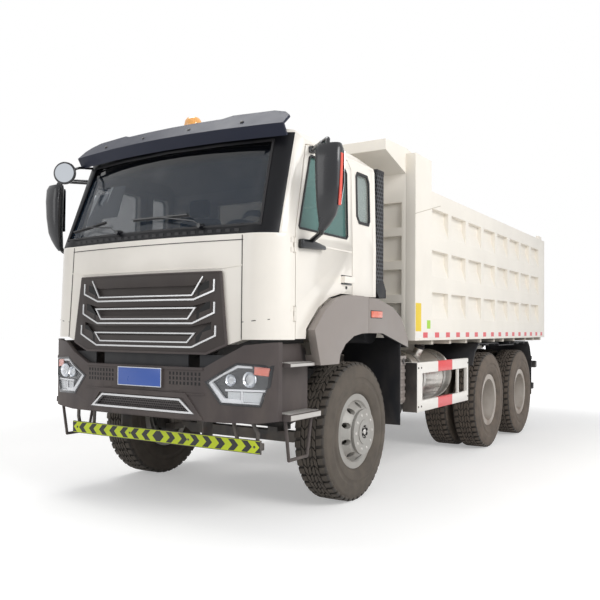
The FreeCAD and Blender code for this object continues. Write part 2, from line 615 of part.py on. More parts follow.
def make_cab():
    walls = cab_walls()
    shell = cut(cab_hull(0), cab_hull(CAB_WALL))
    side_x = CAB_HALF - CAB_WALL - 35
    opening = side_prism(door_outline(), DOOR_GAP, side_x, 1400)
    leaf = side_prism(door_outline(), 0, side_x, 1400)
    grille_hole = prism_y(grille_outline(0), -1500, -1160)
    screen_hole = prism_y(screen_outline(0), -1500, -700)
    frame_zone = prism_y([(-1092, WAIST_Z), (1092, WAIST_Z), (1050, 2795), (-1050, 2795)], -1500, -700)
    frame_zone = frame_zone.common(prism_x([(-1500, WAIST_Z), (-985, WAIST_Z), (-800, 2795), (-1500, 2795)],
                                           -1500, 1500))
    quarter = prism_x(quarter_window(), -1500, 1500)
    rear_window = prism_y([(-520, 2180), (520, 2180), (520, 2560), (-520, 2560)], 200, 400)
    pillar_parts, leaf_parts, hinge_room = hinge_parts()

    door = cut(shell.common(leaf), prism_x(door_window(), 900, 1400), *hinge_room)
    handle = fused(box(CAB_HALF - 4, CAB_HALF + 34, -300, -270, 1735, 1785),
                   box(CAB_HALF - 4, CAB_HALF + 34, -160, -130, 1735, 1785),
                   box(CAB_HALF + 18, CAB_HALF + 34, -300, -130, 1735, 1785))
    door = fused(door, *leaf_parts, handle)

    body = cut(walls, opening, mirrored(opening), quarter, rear_window, screen_hole, grille_hole,
               *both(*hinge_room))
    screen_frame = body.common(frame_zone)
    body = fused(cut(body, frame_zone), *both(*pillar_parts))
    for name, shape in split_cab(body).items():
        save(name, shape)
    save("windscreen_frame", screen_frame)
    save("door_left", door)
    save("door_right", mirrored(door))

    skin = cut(cab_form(CAB_LEVELS, 14), cab_form(CAB_LEVELS, 14 + GLASS_T))
    pane = skin.common(prism_x(door_window(), 900, 1400))
    save("door_glass_left", pane)
    save("door_glass_right", mirrored(pane))
    screen = skin.common(prism_y(screen_outline(-SEAT), -1500, -700))
    quarter_pane = skin.common(prism_x(quarter_window(), 900, 1400))
    rear_pane = box(-520, 520, CAB_REAR - 30, CAB_REAR - 30 + GLASS_T, 2180, 2560)
    save("cab_glass", screen, *both(quarter_pane), rear_pane)


def split_cab(body):
    """The cab's body as its pressed panels: front, roof with the screen pillars, rear wall, floor, sides."""
    big = 1600
    pillar = DOOR_FRONT + 6
    half = CAB_HALF - CAB_WALL
    zones = {
        "cab_front_panel": box(-big, big, -big, pillar, 1000, WAIST_Z),
        "cab_roof": fused(box(-big, big, -big, 600, DOOR_TOP + DOOR_GAP, 3100),
                          box(-half + 40, half - 40, -big, 600, DOOR_TOP - 100, 3100),
                          box(-big, big, -big, -760, WAIST_Z, 3100)),
        "cab_rear_wall": box(-big, big, CAB_REAR - CAB_WALL, 600, 1000, 3100),
    }
    panels = {}
    for name, zone in zones.items():
        panels[name] = body.common(zone)
        body = cut(body, zone)
    middle = box(-half, half, -big, 600, 1000, 1700)
    leg = prism_x([(CAB_PIVOT_Y - 30, CAB_PIVOT_Z), (CAB_PIVOT_Y, CAB_PIVOT_Z - 38),
                   (CAB_PIVOT_Y + 36, CAB_PIVOT_Z), (pillar + 90, CAB_BOTTOM), (pillar + 90, CAB_BOTTOM + 5),
                   (pillar + 26, CAB_BOTTOM + 5)], RAIL_X + 12, RAIL_X + 80)
    leg = cut(leg, disc_x(RAIL_X, RAIL_X + 100, CAB_PIVOT_Y, CAB_PIVOT_Z, CAB_PIVOT_R + FIT))
    beam = box(RAIL_X + 12, RAIL_X + 80, pillar, 200, CAB_BOTTOM - 50, CAB_BOTTOM + 5)
    floor = fused(body.common(middle), *both(leg, beam))
    panels["cab_floor"] = floor
    panels["cab_sides"] = cut(body, middle)
    panels["cab_front_panel"] = cut(panels["cab_front_panel"], floor)
    return panels


def grille_outline(inset):
    """The grille panel seen from the front."""
    i = inset
    return [(-764 + i, 1262), (-600, 1196 + i), (600, 1196 + i), (764 - i, 1262), (701 - i, 1777 - i),
            (-701 + i, 1777 - i)]


def make_cab_trim():
    low = (FACE_BOTTOM, WAIST_Z)
    skin = cut(cab_form(low, -18), cab_form(low, 40))
    panel = skin.common(prism_y(grille_outline(SEAT), -1500, -1160))
    backing = cab_form(low, 8)
    slots = []
    for n in range(3):
        z = 1690 - 145 * n
        x = 610 + 14 * n
        slots.append(cut(prism_y([(-x, z + 20), (-x, z - 30), (-480, z - 78), (480, z - 78), (x, z - 30),
                                  (x, z + 20), (470, z - 12), (-470, z - 12)], -1500, -1200), backing))
    save("grille", cut(panel, *slots))

    visor = prism_x([(-1075, 2838), (-1090, 2872), (-1010, 2960), (-900, 2985), (-880, 2965),
                     (-985, 2930), (-1050, 2862), (-1030, 2838)], -1085, 1085)
    side_trim = prism_y([(-1085, 2800), (1085, 2800), (1085, 2900), (960, 2985), (560, 2995), (480, 2960),
                         (-480, 2960), (-560, 2995), (-960, 2985), (-1085, 2900)], -1500, -600)
    visor = visor.common(side_trim)
    places = (-715, -250, 220, 685)
    arms = [box(x, x + 30, -1010, -780, 2864, 2882) for x in places]
    uprights = [box(x, x + 30, -960, -930, 2864, 2948) for x in places]
    feet = [box(x, x + 30, -820, -780, 2830, 2864) for x in places]
    hull = cab_hull(0)
    save("sun_visor", cut(fused(visor, *arms, *uprights, *feet), hull))

    base = Part.makeCylinder(78, 130, Vector(-60, -640, ROOF_Z - 20))
    dome = Part.makeCylinder(70, 150, Vector(-60, -640, ROOF_Z + 110))
    save("beacon", cut(fused(base, dome), hull))

    arch = prism_x(flare_outline(), FLARE_X_IN, ARCH_X_OUT)
    inner = prism_x([(-600, 1100), (-690, 1365), (-600, 1470), (-450, 1560), (-280, 1605), (70, 1608),
                     (70, 1100)], FLARE_X_IN, ARCH_X_OUT - 30)
    arch = cut(arch, inner, hull, side_prism(door_outline(), DOOR_GAP, 900, 1400))
    flange = box(1000, ARCH_X_OUT - 40, -90, 52, 1612, ARCH_ROOF_Z - SEAT)
    save("wheel_arches", *both(fused(arch, flange)))

    cushion = fused(box(330, 830, -440, 40, 1740, 1860), box(330, 830, 20, 150, 1860, 2420),
                    box(460, 700, 30, 130, 2420, 2600))
    pedestal = box(400, 760, -380, -20, 1690, 1740)
    save("seats", *both(fused(cushion, pedestal)))
    dash = prism_x([(-1190, 1605), (-1190, 1960), (-960, 2010), (-800, 1960), (-780, 1850), (-900, 1605)],
                   -CAB_HALF + 60, CAB_HALF - 60)
    dash = dash.common(cab_form(CAB_LEVELS, CAB_WALL + SEAT))
    dash = cut(dash, *both(box(CAB_HALF - 90, CAB_HALF - 50, DOOR_FRONT - 20, -700, 1500, 2100)))
    middle = Vector(580, -700, 2040)
    wheel_axis = Vector(0, 0.6, 0.8)
    foot = middle - wheel_axis * 360
    column = Part.makeCylinder(38, 330, foot, wheel_axis)
    wheel = Part.makeTorus(225, 16, middle, wheel_axis)
    reaches = (Vector(225, 0, 0), Vector(-225, 0, 0), Vector(0, 0.8 * 225, -0.6 * 225))
    spokes = [Part.makeCylinder(12, 225, middle, reach) for reach in reaches]
    hub = Part.makeCylinder(60, 50, middle - wheel_axis * 35, wheel_axis)
    save("dashboard", fused(dash, column, wheel, *spokes, hub))


def make_mirrors():
    housing = prism_z([(1300, -880), (1310, -980), (1420, -1010), (1500, -960), (1500, -880)], 2260, 2650)
    taper = Part.makeLoft([Part.makePolygon([Vector(x, y, 2260) for x, y in
                                            ((1300, -880), (1310, -980), (1420, -1010), (1500, -960),
                                             (1500, -880), (1300, -880))]),
                           Part.makePolygon([Vector(x, y, 2130) for x, y in
                                            ((1330, -890), (1335, -940), (1370, -955), (1410, -930),
                                             (1410, -890), (1330, -890))])], True, True)
    arm = bent_bar([(1365, -915, 2150), (1300, -880, 2060), (1190, -800, 2010)], 20)
    base = box(CAB_HALF, CAB_HALF + 55, -930, -600, 1935, 2010)
    top = bent_bar([(1380, -920, 2640), (1350, -900, 2700), (1148, -725, 2680)], 16)
    pad = box(CAB_HALF - 26, CAB_HALF + 10, -752, -700, 2656, 2698)
    mirror = cut(fused(housing, taper, arm, base, top, pad), cab_hull(0))
    save("mirror_left", mirror)
    save("mirror_right", mirrored(mirror))
    bowl = rod((-1060, -1120, 2680), (-1060, -1080, 2680), 98)
    stalk = bent_bar([(-1060, -1085, 2700), (-1020, -990, 2745), (-985, -760, 2760)], 12)
    save("kerb_mirror", cut(fused(bowl, stalk), cab_hull(0)))


# ---------------------------------------------------------------- wheels
def tyre(x, y):
    """One tyre, with its middle plane at x."""
    half = TYRE_W / 2
    tread = TREAD_W / 2
    bead = RIM_W / 2 - 11
    left = [(-bead, BEAD_R + SEAT), (-bead - 4, RIM_FLANGE_R), (-bead - 13, RIM_FLANGE_R + 5),
            (-half, 400), (-half + 6, 470), (-tread, TYRE_R - 14), (-tread + 14, TYRE_R)]
    profile = left + [(-u, r) for u, r in reversed(left)]
    return turned_x(profile, x, y, AXLE_Z)


def rim(x, y, outward):
    """One rim and its disc; outward is +1 or -1, the side that its bolting face lies on."""
    half = RIM_W / 2
    s = outward
    profile = [(s * -half, RIM_FLANGE_R - 1), (s * (-half + 6), RIM_FLANGE_R - 1),
               (s * (-half + 10), BEAD_R), (s * 60, BEAD_R - 18), (s * (half - 10), BEAD_R),
               (s * (half - 6), RIM_FLANGE_R - 1), (s * half, RIM_FLANGE_R - 1),
               (s * half, BEAD_R - 8), (s * (half - 14), BEAD_R - 22), (s * (DISC_OFFSET - 16), DISC_R + 30),
               (s * DISC_OFFSET, DISC_R), (s * DISC_OFFSET, 90), (s * (DISC_OFFSET - 16), 90),
               (s * (DISC_OFFSET - 18), DISC_R), (s * (half - 40), BEAD_R - 40),
               (s * 40, BEAD_R - 34), (s * -half, BEAD_R - 16)]
    body = turned_x(profile, x, y, AXLE_Z)
    holes = []
    for n in range(HAND_HOLES):
        angle = 2 * math.pi * (n + 0.5) / HAND_HOLES
        r = (DISC_R + BEAD_R) / 2 - 4
        holes.append(disc_x(x + s * 60, x + s * 190, y + r * math.cos(angle),
                            AXLE_Z + r * math.sin(angle), HAND_HOLE_R))
    return cut(body, *holes)


def make_front_wheels():
    x = FRONT_WHEEL_X
    face = x + DISC_OFFSET
    wheel_rim = rim(x, 0, 1)
    cap = fused(disc_x(face, face + 20, 0, AXLE_Z, DISC_R + 12), disc_x(face + 20, face + 26, 0, AXLE_Z, 96))
    hub = disc_x(x - 60, face, 0, AXLE_Z, HUB_R)
    drum = cut(disc_x(x - 110, x + 80, 0, AXLE_Z, DRUM_R), disc_x(x - 110, x + 60, 0, AXLE_Z, DRUM_R - 16))
    hub = fused(hub, drum, cap)
    bore = disc_x(x - 120, x + 150, 0, AXLE_Z, SPINDLE_R + FIT)
    rims = cut(fused(wheel_rim, hub), bore)
    knuckle_body = box(KINGPIN_X - 58, KINGPIN_X + 62, -62, 62, AXLE_Z - 130, AXLE_Z + 130)
    slot = box(KINGPIN_X - 70, KINGPIN_X + 54, -70, 70, AXLE_Z - 75 - 1, AXLE_Z + 75 + 1)
    pin = Part.makeCylinder(KINGPIN_R, 200, Vector(KINGPIN_X, 0, AXLE_Z - 100))
    spindle = disc_x(KINGPIN_X + 58, x + 140, 0, AXLE_Z, SPINDLE_R)
    flange = disc_x(KINGPIN_X + 56, KINGPIN_X + 66, 0, AXLE_Z, DRUM_R - 30)
    knuckle = fused(cut(knuckle_body, slot), pin, spindle, flange)
    for side, flip in (("left", lambda s: s), ("right", mirrored)):
        save(f"front_tyre_{side}", flip(tyre(x, 0)))
        save(f"front_rim_{side}", flip(rims))
        save(f"steering_knuckle_{side}", flip(knuckle))


def make_rear_wheels():
    for n, y in enumerate(DRIVE_AXLES, 1):
        inner_x = DRIVE_FACE_X - DISC_OFFSET
        outer_x = DRIVE_FACE_X + DISC_OFFSET
        tyres = [tyre(inner_x, y), tyre(outer_x, y)]
        hub = disc_x(inner_x - 60, DRIVE_FACE_X + 170, y, AXLE_Z, HUB_R)
        drum = cut(disc_x(inner_x - 100, inner_x + 80, y, AXLE_Z, DRUM_R),
                   disc_x(inner_x - 100, inner_x + 60, y, AXLE_Z, DRUM_R - 16))
        bore = disc_x(inner_x - 110, DRIVE_FACE_X + 90, y, AXLE_Z, SPINDLE_R + 12 + FIT)
        rims = cut(fused(rim(inner_x, y, 1), rim(outer_x, y, -1), hub, drum), bore)
        for side, flip in (("left", lambda s: s), ("right", mirrored)):
            save(f"drive_tyres_{n}_{side}", *[flip(t) for t in tyres])
            save(f"drive_rims_{n}_{side}", flip(rims))


# ---------------------------------------------------------------- bed
def make_bed():
    side = box(BED_IN, BED_HALF, BED_FRONT, BED_REAR - GATE_T - CLEAR, BED_BOTTOM, BED_RAIL_Z)
    head = box(BED_IN, BED_HALF, BED_FRONT, BED_FRONT + BED_HEAD_L, BED_RAIL_Z, BED_HEAD_Z)
    zone_y0 = BED_FRONT + BED_HEAD_L + 20
    zone_y1 = BED_REAR - 424
    pitch = (zone_y1 - zone_y0 + BED_RIB_W) / BED_COLUMNS
    row_pitch = (BED_ZONE_TOP - BED_LEDGE_Z + BED_BAND_H) / BED_ROWS
    pockets = []
    for column in range(BED_COLUMNS):
        y0 = zone_y0 + column * pitch
        for row in range(BED_ROWS):
            z0 = BED_LEDGE_Z + row * row_pitch
            pockets.append(box(BED_HALF - BED_RECESS, BED_HALF + 1, y0, y0 + pitch - BED_RIB_W,
                               z0, z0 + row_pitch - BED_BAND_H))
    side = cut(fused(side, head), *pockets)
    side = fused(side, gate_hanger())
    save("bed_sides", *both(side))

    floor = box(-BED_IN, BED_IN, BED_FRONT + BED_WALL_T, BED_REAR - GATE_T - CLEAR,
                BED_BOTTOM, BED_BOTTOM + BED_FLOOR_T)
    well = box(-WELL_IN - WELL_T, WELL_IN + WELL_T, BED_FRONT, 1330 + WELL_T, 1200, 1400)
    floor = cut(floor, well)
    beam = hollow_beam(SUB_X - SUB_W / 2, SUB_X + SUB_W / 2, 1400, BED_HINGE_Y - 50,
                       SUB_TOP + SEAT, BED_BOTTOM, 8)
    ear_space = box(SUB_X - 42, SUB_X - 6, BED_HINGE_Y - 110, BED_HINGE_Y + 80, SUB_TOP, BED_BOTTOM)
    bore = disc_x(SUB_X - SUB_W, SUB_X + SUB_W, BED_HINGE_Y, BED_HINGE_Z, BED_HINGE_R + FIT)
    ear = fused(box(SUB_X - 4, SUB_X + 40, BED_HINGE_Y - 60, BED_HINGE_Y + 60, BED_HINGE_Z, BED_BOTTOM),
                disc_x(SUB_X - 4, SUB_X + 40, BED_HINGE_Y, BED_HINGE_Z, BED_HINGE_R + 18))
    beam = cut(fused(beam, ear), ear_space, bore)
    bearers = [box(-BED_HALF + 30, BED_HALF - 30, y, y + 60, BED_BOTTOM - 42, BED_BOTTOM)
               for y in (1400, 1900, 2400, 2900, 3420, 3800, 4300, 4850, 5300, 5700)]
    save("bed_floor", fused(floor, *both(beam), *bearers))

    wall = box(-BED_IN, BED_IN, BED_FRONT, BED_FRONT + BED_WALL_T, BED_BOTTOM, BED_HEAD_Z)
    grooves = [box(x0, x1, BED_FRONT - 1, BED_FRONT + 34, z, z + 230)
               for z in (1390, 1700, 2010, 2320) for x0, x1 in ((-1110, -260), (260, 1110))]
    slot = box(-WELL_IN - WELL_T, WELL_IN + WELL_T, BED_FRONT - 1, BED_FRONT + 200, 1200, 2560)
    wall = cut(wall, *grooves, slot)
    well_side = [(BED_FRONT, BED_BOTTOM), (1330, BED_BOTTOM), (1060, 2560), (BED_FRONT, 2560)]
    cheeks = prism_x(well_side, WELL_IN, WELL_IN + WELL_T)
    back = prism_x([(1330, BED_BOTTOM), (1330 + WELL_T, BED_BOTTOM), (1060 + WELL_T, 2560 + WELL_T),
                    (BED_FRONT, 2560 + WELL_T), (BED_FRONT, 2560), (1060, 2560)],
                   -WELL_IN - WELL_T, WELL_IN + WELL_T)
    ear_in = HOIST_R[-1] + 12
    lug = prism_x([(BED_FRONT, HOIST_EYE_Z - 85), (BED_FRONT, HOIST_EYE_Z + 85),
                   (HOIST_Y - 40, HOIST_EYE_Z + 40), (HOIST_Y - 40, HOIST_EYE_Z - 40)], ear_in, ear_in + 20)
    stub = disc_x(ear_in + 20, ear_in + 34, HOIST_Y, HOIST_EYE_Z, HOIST_PIN_R + 8)
    wall = fused(wall, *both(cheeks), back, *both(lug, stub))

    canopy = prism_x([(BED_FRONT, 2815), (CANOPY_FRONT, 2945), (CANOPY_FRONT, 3040), (BED_FRONT, 3050),
                      (BED_FRONT + 300, 3020), (BED_FRONT + 300, BED_HEAD_Z), (BED_FRONT, BED_HEAD_Z)],
                     -CANOPY_HALF, CANOPY_HALF)
    canopy = cut(canopy, prism_x([(BED_FRONT, 2840), (CANOPY_FRONT + 30, 2968), (CANOPY_FRONT + 30, 3014),
                                  (BED_FRONT, 3024)], -CANOPY_HALF + 20, CANOPY_HALF - 20))
    save("bed_front_wall", fused(wall, canopy))
    make_tailgate()


def make_tailgate():
    y0 = BED_REAR - GATE_T
    gate = box(-BED_HALF + 30, BED_HALF - 30, y0, BED_REAR, BED_BOTTOM + 10, BED_RAIL_Z - 30)
    pockets = []
    columns, rows = 4, 3
    width = (2 * (BED_HALF - 30) - 90) / columns
    height = (BED_RAIL_Z - 30 - BED_BOTTOM - 10 - 90) / rows
    for c in range(columns):
        for r in range(rows):
            x0 = -BED_HALF + 30 + 90 + c * width
            z0 = BED_BOTTOM + 10 + 90 + r * height
            pockets.append(box(x0, x0 + width - 90, BED_REAR - 38, GATE_REAR + 1, z0, z0 + height - 90))
    gate = cut(gate, *pockets)
    pin_y = BED_REAR - 30
    ear = box(BED_HALF - 130, BED_HALF - 104, pin_y - 34, pin_y + 35, BED_RAIL_Z - 60, GATE_PIN_Z + 40)
    ear = cut(ear, disc_x(0, 2000, pin_y, GATE_PIN_Z, GATE_PIN_R + FIT))
    save("tailgate", fused(gate, *both(ear)))


def gate_hanger():
    """The lug and pin on a side wall that the tailgate hangs from."""
    pin_y = BED_REAR - 30
    lug = box(BED_IN + 6, BED_IN + 40, BED_REAR - 200, pin_y + 30, BED_RAIL_Z, GATE_PIN_Z + 40)
    return fused(lug, disc_x(BED_HALF - 140, BED_IN + 40, pin_y, GATE_PIN_Z, GATE_PIN_R))


# ---------------------------------------------------------------- hoist
def make_hoist():
    closed = HOIST_EYE_Z - HOIST_BASE_Z
    barrel_r, *stage_r = HOIST_R
    foot = disc_x(-90, 90, HOIST_Y, HOIST_BASE_Z, HOIST_PIN_R + 22)
    foot = cut(foot, disc_x(-95, 95, HOIST_Y, HOIST_BASE_Z, HOIST_PIN_R + FIT))
    base_z = HOIST_BASE_Z + HOIST_PIN_R + 16
    top_z = HOIST_BASE_Z + closed - 190
    tube = Part.makeCylinder(barrel_r, top_z - base_z, Vector(0, HOIST_Y, base_z))
    bore = Part.makeCylinder(stage_r[0] + 1, top_z - base_z, Vector(0, HOIST_Y, base_z + 20))
    pin_room = disc_x(-120, 120, HOIST_Y, HOIST_BASE_Z, HOIST_PIN_R + FIT)
    save("hoist_barrel", cut(fused(cut(tube, bore), foot), pin_room))
    for n, radius in enumerate(stage_r, 1):
        low = base_z + 20 + 6 * n
        high = top_z + 34 * n
        stage = Part.makeCylinder(radius, high - low, Vector(0, HOIST_Y, low))
        if n < len(stage_r):
            stage = cut(stage, Part.makeCylinder(stage_r[n] + 1, high - low, Vector(0, HOIST_Y, low + 4)))
        else:
            eye = disc_x(-HOIST_R[-1] + 4, HOIST_R[-1] - 4, HOIST_Y, HOIST_EYE_Z, 44)
            neck = Part.makeCylinder(40, HOIST_EYE_Z - high, Vector(0, HOIST_Y, high))
            stage = fused(stage, neck, eye)
        save(f"hoist_stage_{n}", stage)


def main():
    os.makedirs("parts", exist_ok=True)
    make_chassis()
    make_subframe()
    make_front_axle()
    make_springs()
    make_drive_axles()
    make_power_train()
    make_bumper()
    make_lamps()
    make_underrun_bar()
    make_steps()
    make_mudguards()
    make_side_guards()
    make_tanks()
    make_boxes()
    make_intake()
    make_tail()
    make_cab()
    make_cab_trim()
    make_mirrors()
    make_front_wheels()
    make_rear_wheels()
    make_bed()
    make_hoist()


main()
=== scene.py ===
"""Studio picture of a three-axle dump truck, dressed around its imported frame.

Lengths are metres. +Z is up, the truck faces -Y and +X is its left side. Pieces are modelled with y measured
from the front axle; Shape.piece() moves them to the frame's own origin.
"""

import json
import logging
import math
from collections.abc import Callable, Iterable, Sequence
from dataclasses import dataclass
from enum import Enum
from itertools import product
from typing import ClassVar

import bmesh
import bpy
from bmesh.types import BMVert
from mathutils import Matrix, Vector

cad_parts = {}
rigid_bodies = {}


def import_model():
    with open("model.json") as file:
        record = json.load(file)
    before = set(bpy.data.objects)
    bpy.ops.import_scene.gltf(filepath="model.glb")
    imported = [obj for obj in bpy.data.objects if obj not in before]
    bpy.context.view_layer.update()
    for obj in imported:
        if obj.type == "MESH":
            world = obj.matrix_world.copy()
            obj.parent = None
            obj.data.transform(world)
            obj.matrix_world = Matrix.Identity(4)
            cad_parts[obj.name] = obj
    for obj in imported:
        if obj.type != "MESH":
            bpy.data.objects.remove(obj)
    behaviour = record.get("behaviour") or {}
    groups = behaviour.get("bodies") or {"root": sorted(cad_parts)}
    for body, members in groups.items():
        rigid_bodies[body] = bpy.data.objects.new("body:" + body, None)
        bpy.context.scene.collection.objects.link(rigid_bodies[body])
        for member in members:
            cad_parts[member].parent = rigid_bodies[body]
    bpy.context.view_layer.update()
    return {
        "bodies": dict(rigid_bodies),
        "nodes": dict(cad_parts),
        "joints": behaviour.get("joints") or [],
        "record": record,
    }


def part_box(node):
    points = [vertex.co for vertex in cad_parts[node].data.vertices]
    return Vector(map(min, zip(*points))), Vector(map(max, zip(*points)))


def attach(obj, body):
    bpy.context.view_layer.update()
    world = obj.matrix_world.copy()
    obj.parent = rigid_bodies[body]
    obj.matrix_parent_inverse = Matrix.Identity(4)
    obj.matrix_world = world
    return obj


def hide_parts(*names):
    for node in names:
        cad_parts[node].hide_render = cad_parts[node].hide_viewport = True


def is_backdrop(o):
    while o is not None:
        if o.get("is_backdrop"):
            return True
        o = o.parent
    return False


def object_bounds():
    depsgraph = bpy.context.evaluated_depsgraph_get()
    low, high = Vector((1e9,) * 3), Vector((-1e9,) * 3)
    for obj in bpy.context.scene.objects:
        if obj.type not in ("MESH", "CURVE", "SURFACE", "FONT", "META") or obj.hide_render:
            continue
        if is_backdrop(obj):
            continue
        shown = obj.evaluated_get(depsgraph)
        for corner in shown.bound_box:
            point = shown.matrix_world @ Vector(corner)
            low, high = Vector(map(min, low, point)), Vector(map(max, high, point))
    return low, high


LOG = logging.getLogger("truck")
SHARP = math.radians(32)
SMOOTH = math.radians(38)
Point = tuple[float, float, float]
Spot = tuple[float, float]


class Side(Enum):
    """A side of the truck, as the sign of its x."""

    LEFT = 1
    RIGHT = -1

    @property
    def word(self) -> str:
        """The side as names of pieces and nodes have it."""
        return self.name.lower()


class Plane(Enum):
    """The plane that a flat outline lies in."""

    SIDE = "x"
    FRONT = "y"
    TOP = "z"


@dataclass(frozen=True)
class Layout:
    """Where the axles lie in the frame."""

    front_y: float
    axle_z: float
    drive_ys: tuple[float, float]

    @classmethod
    def read(cls) -> "Layout":
        """The axles' places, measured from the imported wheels.

        Returns:
            The layout.
        """
        low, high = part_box("front_rim_left")
        middles = [sum(corner.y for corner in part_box(f"drive_rims_{n}_left")) / 2 for n in (1, 2)]
        front = (low.y + high.y) / 2
        return cls(front, (low.z + high.z) / 2, (middles[0] - front, middles[1] - front))


# ---------------------------------------------------------------- shader expressions
def tint(code: str) -> tuple[float, float, float, float]:
    """A hex colour as Blender's linear colour.

    Args:
        code: Six hex digits after a hash.

    Returns:
        Red, green, blue and alpha.
    """
    shares = [int(code[i:i + 2], 16) / 255 for i in (1, 3, 5)]
    red, green, blue = [s / 12.92 if s <= 0.04045 else ((s + 0.055) / 1.055) ** 2.4 for s in shares]
    return red, green, blue, 1.0


def joined(operation: str, flipped: bool = False) -> "Callable[[Value, float | Value], Value]":
    """Makes a method that joins two values with one Math node.

    Args:
        operation: What the node does.
        flipped: Whether the method's own value comes last.

    Returns:
        The method.
    """
    def method(self: "Value", other: "float | Value") -> "Value":
        """Joins this value and another one."""
        pair = [other, self] if flipped else [self, other]
        return self.graph.node("ShaderNodeMath", {"operation": operation}, pair)

    return method


class Value:
    """A shader socket that Python's operators join with Math nodes.

    less and more give 1 where they hold and 0 elsewhere, and most gives the larger of two values.
    """

    __add__ = __radd__ = joined("ADD")
    __sub__ = joined("SUBTRACT")
    __rsub__ = joined("SUBTRACT", flipped=True)
    __mul__ = __rmul__ = joined("MULTIPLY")
    __truediv__ = joined("DIVIDE")
    __mod__ = joined("FLOORED_MODULO")
    less = joined("LESS_THAN")
    more = joined("GREATER_THAN")
    most = joined("MAXIMUM")

    def __init__(self, graph: "Graph", socket: bpy.types.NodeSocket) -> None:
        """Wraps one output socket of a graph."""
        self.graph = graph
        self.socket = socket

    def __abs__(self) -> "Value":
        """Size without sign."""
        return self.graph.node("ShaderNodeMath", {"operation": "ABSOLUTE"}, [self])

    def length(self, other: "Value") -> "Value":
        """The length of a flat vector with these two parts."""
        return self.graph.node("ShaderNodeMath", {"operation": "SQRT"}, [self * self + other * other])

    def rising(self, low: float, high: float) -> "Value":
        """0 below low, 1 above high and smooth between; the other way round where low is the larger."""
        ends = [low, high, 0.0, 1.0] if low < high else [high, low, 1.0, 0.0]
        return self.graph.node("ShaderNodeMapRange", {"interpolation_type": "SMOOTHSTEP"}, [self, *ends])


class Graph:
    """The nodes of one material, or of the world."""

    def __init__(self, owner: "bpy.types.Material | bpy.types.World",
                 output: str = "ShaderNodeOutputMaterial", shader: str = "ShaderNodeBsdfPrincipled") -> None:
        """Starts with one shader on the output.

        Args:
            owner: The material or the world.
            output: The type of its output node.
            shader: The type of the shader on it.
        """
        owner.use_nodes = True
        self.owner = owner
        self.tree = owner.node_tree
        self.tree.nodes.clear()
        surface = self.tree.nodes.new(output).inputs["Surface"]
        self.shader = self.tree.nodes.new(shader)
        self.tree.links.new(self.shader.outputs[0], surface)

    def node(self, kind: str, settings: dict | None = None, inputs: "Sequence | dict | None" = None,
             output: int | str = 0) -> Value:
        """Adds a node.

        Args:
            kind: The node's type.
            settings: Properties that are set before its sockets.
            inputs: Values or links by socket number, or by name.
            output: Which output to hand on.

        Returns:
            That output as a value.
        """
        made = self.tree.nodes.new(kind)
        for key, setting in (settings or {}).items():
            setattr(made, key, setting)
        pairs = inputs.items() if isinstance(inputs, dict) else enumerate(inputs or [])
        for key, value in pairs:
            self.feed(made.inputs[key], value)
        return Value(self, made.outputs[output])

    def feed(self, socket: bpy.types.NodeSocket, value: "float | tuple | Value") -> None:
        """Sets or links one socket.

        Args:
            socket: The socket.
            value: What it is set to, or the output that it is linked to.
        """
        if isinstance(value, Value):
            self.tree.links.new(value.socket, socket)
        else:
            socket.default_value = value

    def set(self, **sockets: "float | tuple | Value") -> None:
        """Sets or links sockets of the Principled shader; an underscore stands for a space."""
        for name, value in sockets.items():
            self.feed(self.shader.inputs[name.replace("_", " ")], value)

    def seen(self) -> Value:
        """1 for rays from the camera, off gloss and through glass, and 0 for all others.

        Returns:
            The share.
        """
        rays = self.node("ShaderNodeLightPath").socket.node.outputs
        camera, gloss, glass = (Value(self, rays[ray]) for ray in (
            "Is Camera Ray", "Is Glossy Ray", "Is Transmission Ray"))
        return camera.most(gloss).most(glass)

    def place(self) -> Value:
        """Object coordinates, which are the frame's own."""
        return self.node("ShaderNodeTexCoord", output="Object")

    def axes(self, place: Value) -> tuple[Value, Value, Value]:
        """The three parts of a vector."""
        split = self.node("ShaderNodeSeparateXYZ", inputs=[place]).socket.node
        return tuple(Value(self, output) for output in split.outputs)

    def noise(self, place: Value, scale: float, detail: float = 3.0, stretch: Point = (1, 1, 1)) -> Value:
        """Smooth noise from 0 to 1."""
        moved = self.node("ShaderNodeMapping", inputs={"Vector": place, "Scale": stretch})
        return self.node("ShaderNodeTexNoise", inputs={"Vector": moved, "Scale": scale, "Detail": detail})

    def mix(self, share: "float | Value", first: "tuple | Value", second: "tuple | Value") -> Value:
        """A colour between two, by share from 0 to 1."""
        return self.node("ShaderNodeMix", {"data_type": "RGBA"}, {0: share, 6: first, 7: second}, output=2)

    def bump(self, height: Value, depth: float, strength: float = 1.0) -> Value:
        """A normal from a height that spans 0 to 1 over the given depth."""
        return self.node("ShaderNodeBump", inputs={"Strength": strength, "Distance": depth, "Height": height})


